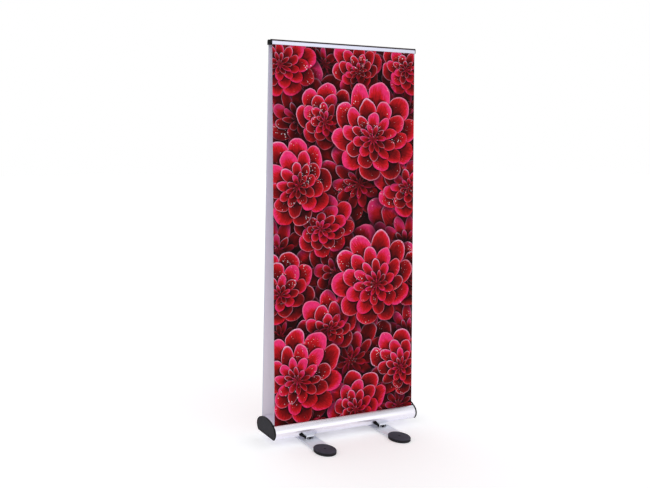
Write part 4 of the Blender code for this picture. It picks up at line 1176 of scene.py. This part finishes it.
class BANNER_OT_brackets(bpy.types.Operator):
    """Build the folded hoods that hold the bars down and the black catches in them"""
    bl_idname = "banner.brackets"
    bl_label = "Brackets"

    def execute(self, context):
        for foot, side, x in each_foot():
            self.hood(foot, x, side)
            self.catch(foot, x, side)
        return {"FINISHED"}

    def across(self, name, outline, side, start, end):
        """Draws out a section given with its outer side at +Y, on the front or the back."""
        return drawn(name, [(side * y, z) for y, z in outline], *sorted((start, end)))

    def seen_from_outside(self, name, outline, x, side):
        """A prism through the flank, from an outline as seen with the front's left at -X."""
        corners = [(x - side * across, height) for across, height in outline]
        return drawn(name, corners, *sorted(side * y for y in FLANK_Y), "Y")

    def hood(self, foot, x, side):
        """A folded sheet: front, roof and sides under the cassette, and a plate up its flank."""
        base = BAR_TOP_Z + GAP
        top = UNDERSIDE_Z - GAP
        toe = HOOD_FRONT_Y + 0.001
        roof = top - HOOD_SHEET
        outline = [(HOOD_BACK_Y, base), (toe, base), (HOOD_FRONT_Y, HOOD_LIP_Z),
                   (HOOD_SHOULDER_Y, top), (HOOD_BACK_Y, top)]
        hood = self.across(foot + "_hood", outline, side, x - HOOD_HALF, x + HOOD_HALF)
        inner = HOOD_HALF - HOOD_SHEET
        hollow = [(0.060, 0), (0.120, 0), (0.120, HOOD_LIP_Z),
                  (HOOD_FRONT_Y - HOOD_SHEET, HOOD_LIP_Z), (HOOD_SHOULDER_Y - HOOD_SHEET, roof),
                  (0.060, roof)]
        hollow = self.across("hollow", hollow, side, x - inner, x + inner)
        gate = [(0.060, 0), (HOOD_WALL_Y, 0), (HOOD_WALL_Y, roof), (0.060, roof)]
        cut(hood, hollow, self.across("gate", gate, side, x - 0.04, x + 0.04))
        join(hood, self.plate(x, side, roof))
        soften(hood, 0.0006, 3, 40)
        finished(hood, "root", "brushed_bar", foot + "_bracket")

    def plate(self, x, side, roof):
        """The plate on the flank, with its slanted side and rounded corners."""
        heights = [PLATE_LOW_Z + (PLATE_HIGH_Z - PLATE_LOW_Z) * i / 12 for i in range(13)]
        inner, outer = ([(floor_y(HALF_DEPTH + margin, LOWER_DROP + margin, z), z) for z in heights]
                        for margin in (GAP, GAP + HOOD_SHEET))
        inner[0] = (inner[0][0], roof + WELD)
        section = [(HOOD_SHOULDER_Y, roof + WELD)] + outer + inner[::-1]
        plate = self.across("plate", section, side, x - 0.08, x + 0.08)
        combine(plate, self.seen_from_outside("plate_outline", PLATE_OUTLINE, x, side), "INTERSECT")
        return plate

    def catch(self, foot, x, side):
        """The moulded catch: a block with its release tongue, and an arm out to the lever."""
        ceiling = UNDERSIDE_Z - HOOD_SHEET - 2 * GAP
        back = HOOD_BACK_Y + GAP
        gap = HOOD_SHEET + GAP
        inner = HOOD_HALF - gap
        front = HOOD_FRONT_Y - gap
        body = [(back, BLOCK_BASE_Z), (front, BLOCK_BASE_Z), (front, HOOD_LIP_Z - GAP),
                (HOOD_SHOULDER_Y - gap, ceiling), (back, ceiling)]
        catch = self.across(foot + "_latch", body, side, x - inner, x + inner)
        soften(catch, 0.0006, 2, 30)
        ends = sorted((side * (HOOD_FRONT_Y - 0.0055), side * TONGUE_FRONT_Y))
        tongue = block("tongue", (x - TONGUE_HALF, ends[0], TONGUE_BASE_Z),
                       (x + TONGUE_HALF, ends[1], HOOD_LIP_Z - 0.001))
        soften(tongue, 0.0012, 3)
        join(catch, tongue)
        arm_top = ceiling - ARM_DROP
        arm = [(back, BLOCK_BASE_Z), (HOOD_WALL_Y - GAP, BLOCK_BASE_Z),
               (HOOD_WALL_Y - GAP, arm_top), (back, arm_top)]
        join(catch, self.across("arm", arm, side, x + side * (inner - 0.003), x + side * ARM_END))
        join(catch, self.lever(x, side))
        cut(catch, drawn("cassette", cassette_oval(GAP), x - 0.1, x + 0.1))
        finished(catch, "root", "moulding_side", foot + "_catch")

    def lever(self, x, side):
        """The lever, which follows the cassette's flank upwards beside the hood's plate."""
        lever = self.across("lever", LEVER_SECTION, side, x - 0.08, x + 0.08)
        combine(lever, self.seen_from_outside("lever_outline", LEVER_OUTLINE, x, side), "INTERSECT")
        soften(lever, 0.0012, 3, 30)
        return lever


# The photograph's viewpoint, and its yaw, pitch and roll in degrees
CAMERA_PLACE = (-2.243, -4.100, 1.610)
CAMERA_TURN = (-27.609, -6.987, 0.767)


class BANNER_OT_stage(bpy.types.Operator):
    """Set up the pale floor, the soft lights, the white surroundings and the camera"""
    bl_idname = "banner.stage"
    bl_label = "Studio"

    def execute(self, context):
        settings = context.scene.banner_studio
        context.scene.view_settings.view_transform = "Standard"
        self.floor(settings)
        self.world(context.scene, settings)
        self.light("key_light", settings.key, 100, (-0.05, -0.95, 0.30))
        self.light("rear_light", settings.rear, 60, (0.15, 0.92, 0.32))
        self.camera(context.scene, settings)
        return {"FINISHED"}

    def seen_directly(self, nodes):
        """1 for what the camera sees, and for what metal and glass reflect or show."""
        path = nodes.add("LightPath").outputs
        seen = nodes.math("MAXIMUM", path["Is Camera Ray"], path["Is Glossy Ray"])
        return nodes.math("MAXIMUM", seen, path["Is Transmission Ray"])

    def floor(self, settings):
        bpy.ops.object.select_all(action="DESELECT")
        bpy.ops.mesh.primitive_plane_add(size=60)
        floor = bpy.context.object
        floor.name = "floor"
        skin = bpy.data.materials.new("studio_floor")
        skin.use_nodes = True
        tree = skin.node_tree
        tree.nodes.remove(tree.nodes["Principled BSDF"])
        nodes = Nodes(tree)
        matt = nodes.add("BsdfDiffuse", ((*settings.floor, 1.0),)).outputs[0]
        strength = nodes.times(self.seen_directly(nodes), settings.glow)
        glow = nodes.add("Emission", ((1, 1, 1, 1), strength)).outputs[0]
        both = nodes.add("AddShader", (matt, glow)).outputs[0]
        tree.links.new(both, tree.nodes["Material Output"].inputs["Surface"])
        floor.data.materials.append(skin)

    def world(self, scene, settings):
        sky = bpy.data.worlds.new("studio")
        scene.world = sky
        sky.use_nodes = True
        nodes = Nodes(sky.node_tree)
        background = sky.node_tree.nodes["Background"]
        background.inputs["Color"].default_value = (1, 1, 1, 1)
        path = nodes.add("LightPath").outputs
        up = nodes.parts(nodes.add("TexCoord").outputs["Generated"])[2]
        band = nodes.between(up, 0.50, 0.72, smooth=True)
        crown = nodes.between(up, 0.90, 0.98, 1.0, 0.0, True)
        shown = nodes.pick(nodes.times(band, crown), 1.0, settings.dusk)
        seen = nodes.pick(path["Is Glossy Ray"], 1.0, shown)
        strength = nodes.pick(self.seen_directly(nodes), settings.sky, seen)
        nodes.feed(background.inputs["Strength"], strength)

    def light(self, name, strength, spread, place):
        """A broad, even lamp far away in the direction of a place."""
        lamp = bpy.data.lights.new(name, "SUN")
        lamp.energy = strength
        lamp.angle = radians(spread)
        item = bpy.data.objects.new(name, lamp)
        item.location = Vector(place) * 4
        item.rotation_euler = (-Vector(place)).to_track_quat("-Z", "Y").to_euler()
        bpy.context.scene.collection.objects.link(item)

    def camera(self, scene, settings):
        """Sets the camera level with its yaw and pitch, and then rolls it."""
        yaw, pitch, roll = (radians(angle) for angle in CAMERA_TURN)
        ahead = Vector((-sin(yaw) * cos(pitch), cos(yaw) * cos(pitch), sin(pitch)))
        right = Vector((cos(yaw), sin(yaw), 0))
        up = right.cross(ahead)
        across = cos(roll) * right + sin(roll) * up
        level = Matrix((across, cos(roll) * up - sin(roll) * right, -ahead))
        eye = bpy.data.cameras.new("camera")
        eye.sensor_width = 36
        eye.lens = settings.focal
        eye.clip_end = 200
        item = bpy.data.objects.new("camera", eye)
        item.matrix_world = Matrix.Translation(CAMERA_PLACE) @ level.transposed().to_4x4()
        scene.collection.objects.link(item)
        scene.camera = item


class BANNER_PT_stand(bpy.types.Panel):
    """Lists the steps that build the stand and the settings they read"""
    bl_label = "Banner Stand"
    bl_idname = "BANNER_PT_stand"
    bl_space_type = "VIEW_3D"
    bl_region_type = "UI"
    bl_category = "Banner Stand"

    def draw(self, context):
        for step in STEPS:
            self.layout.operator(step.bl_idname)
        for name in SETTINGS:
            box = self.layout.box()
            group = getattr(context.scene, name)
            for key in group.__annotations__:
                box.prop(group, key)


SETTINGS = {
    "banner_film": FilmSettings,
    "banner_metal": MetalSettings,
    "banner_moulding": MouldingSettings,
    "banner_studio": StudioSettings,
}
STEPS = (BANNER_OT_cassette, BANNER_OT_end_caps, BANNER_OT_top_rail, BANNER_OT_mast,
         BANNER_OT_inner_parts, BANNER_OT_films, BANNER_OT_feet, BANNER_OT_brackets, BANNER_OT_stage)


def register():
    for kind in (*SETTINGS.values(), *STEPS, BANNER_PT_stand):
        bpy.utils.register_class(kind)
    for name, kind in SETTINGS.items():
        setattr(bpy.types.Scene, name, bpy.props.PointerProperty(type=kind))


def unregister():
    for name in SETTINGS:
        delattr(bpy.types.Scene, name)
    for kind in reversed((*SETTINGS.values(), *STEPS, BANNER_PT_stand)):
        bpy.utils.unregister_class(kind)


def main():
    """Builds the whole stand."""
    register()
    bpy.ops.banner.cassette()
    bpy.ops.banner.end_caps()
    bpy.ops.banner.top_rail()
    bpy.ops.banner.mast()
    bpy.ops.banner.inner_parts()
    bpy.ops.banner.films()
    bpy.ops.banner.feet()
    bpy.ops.banner.brackets()
    bpy.ops.banner.stage()


if __name__ == "__main__":
    main()
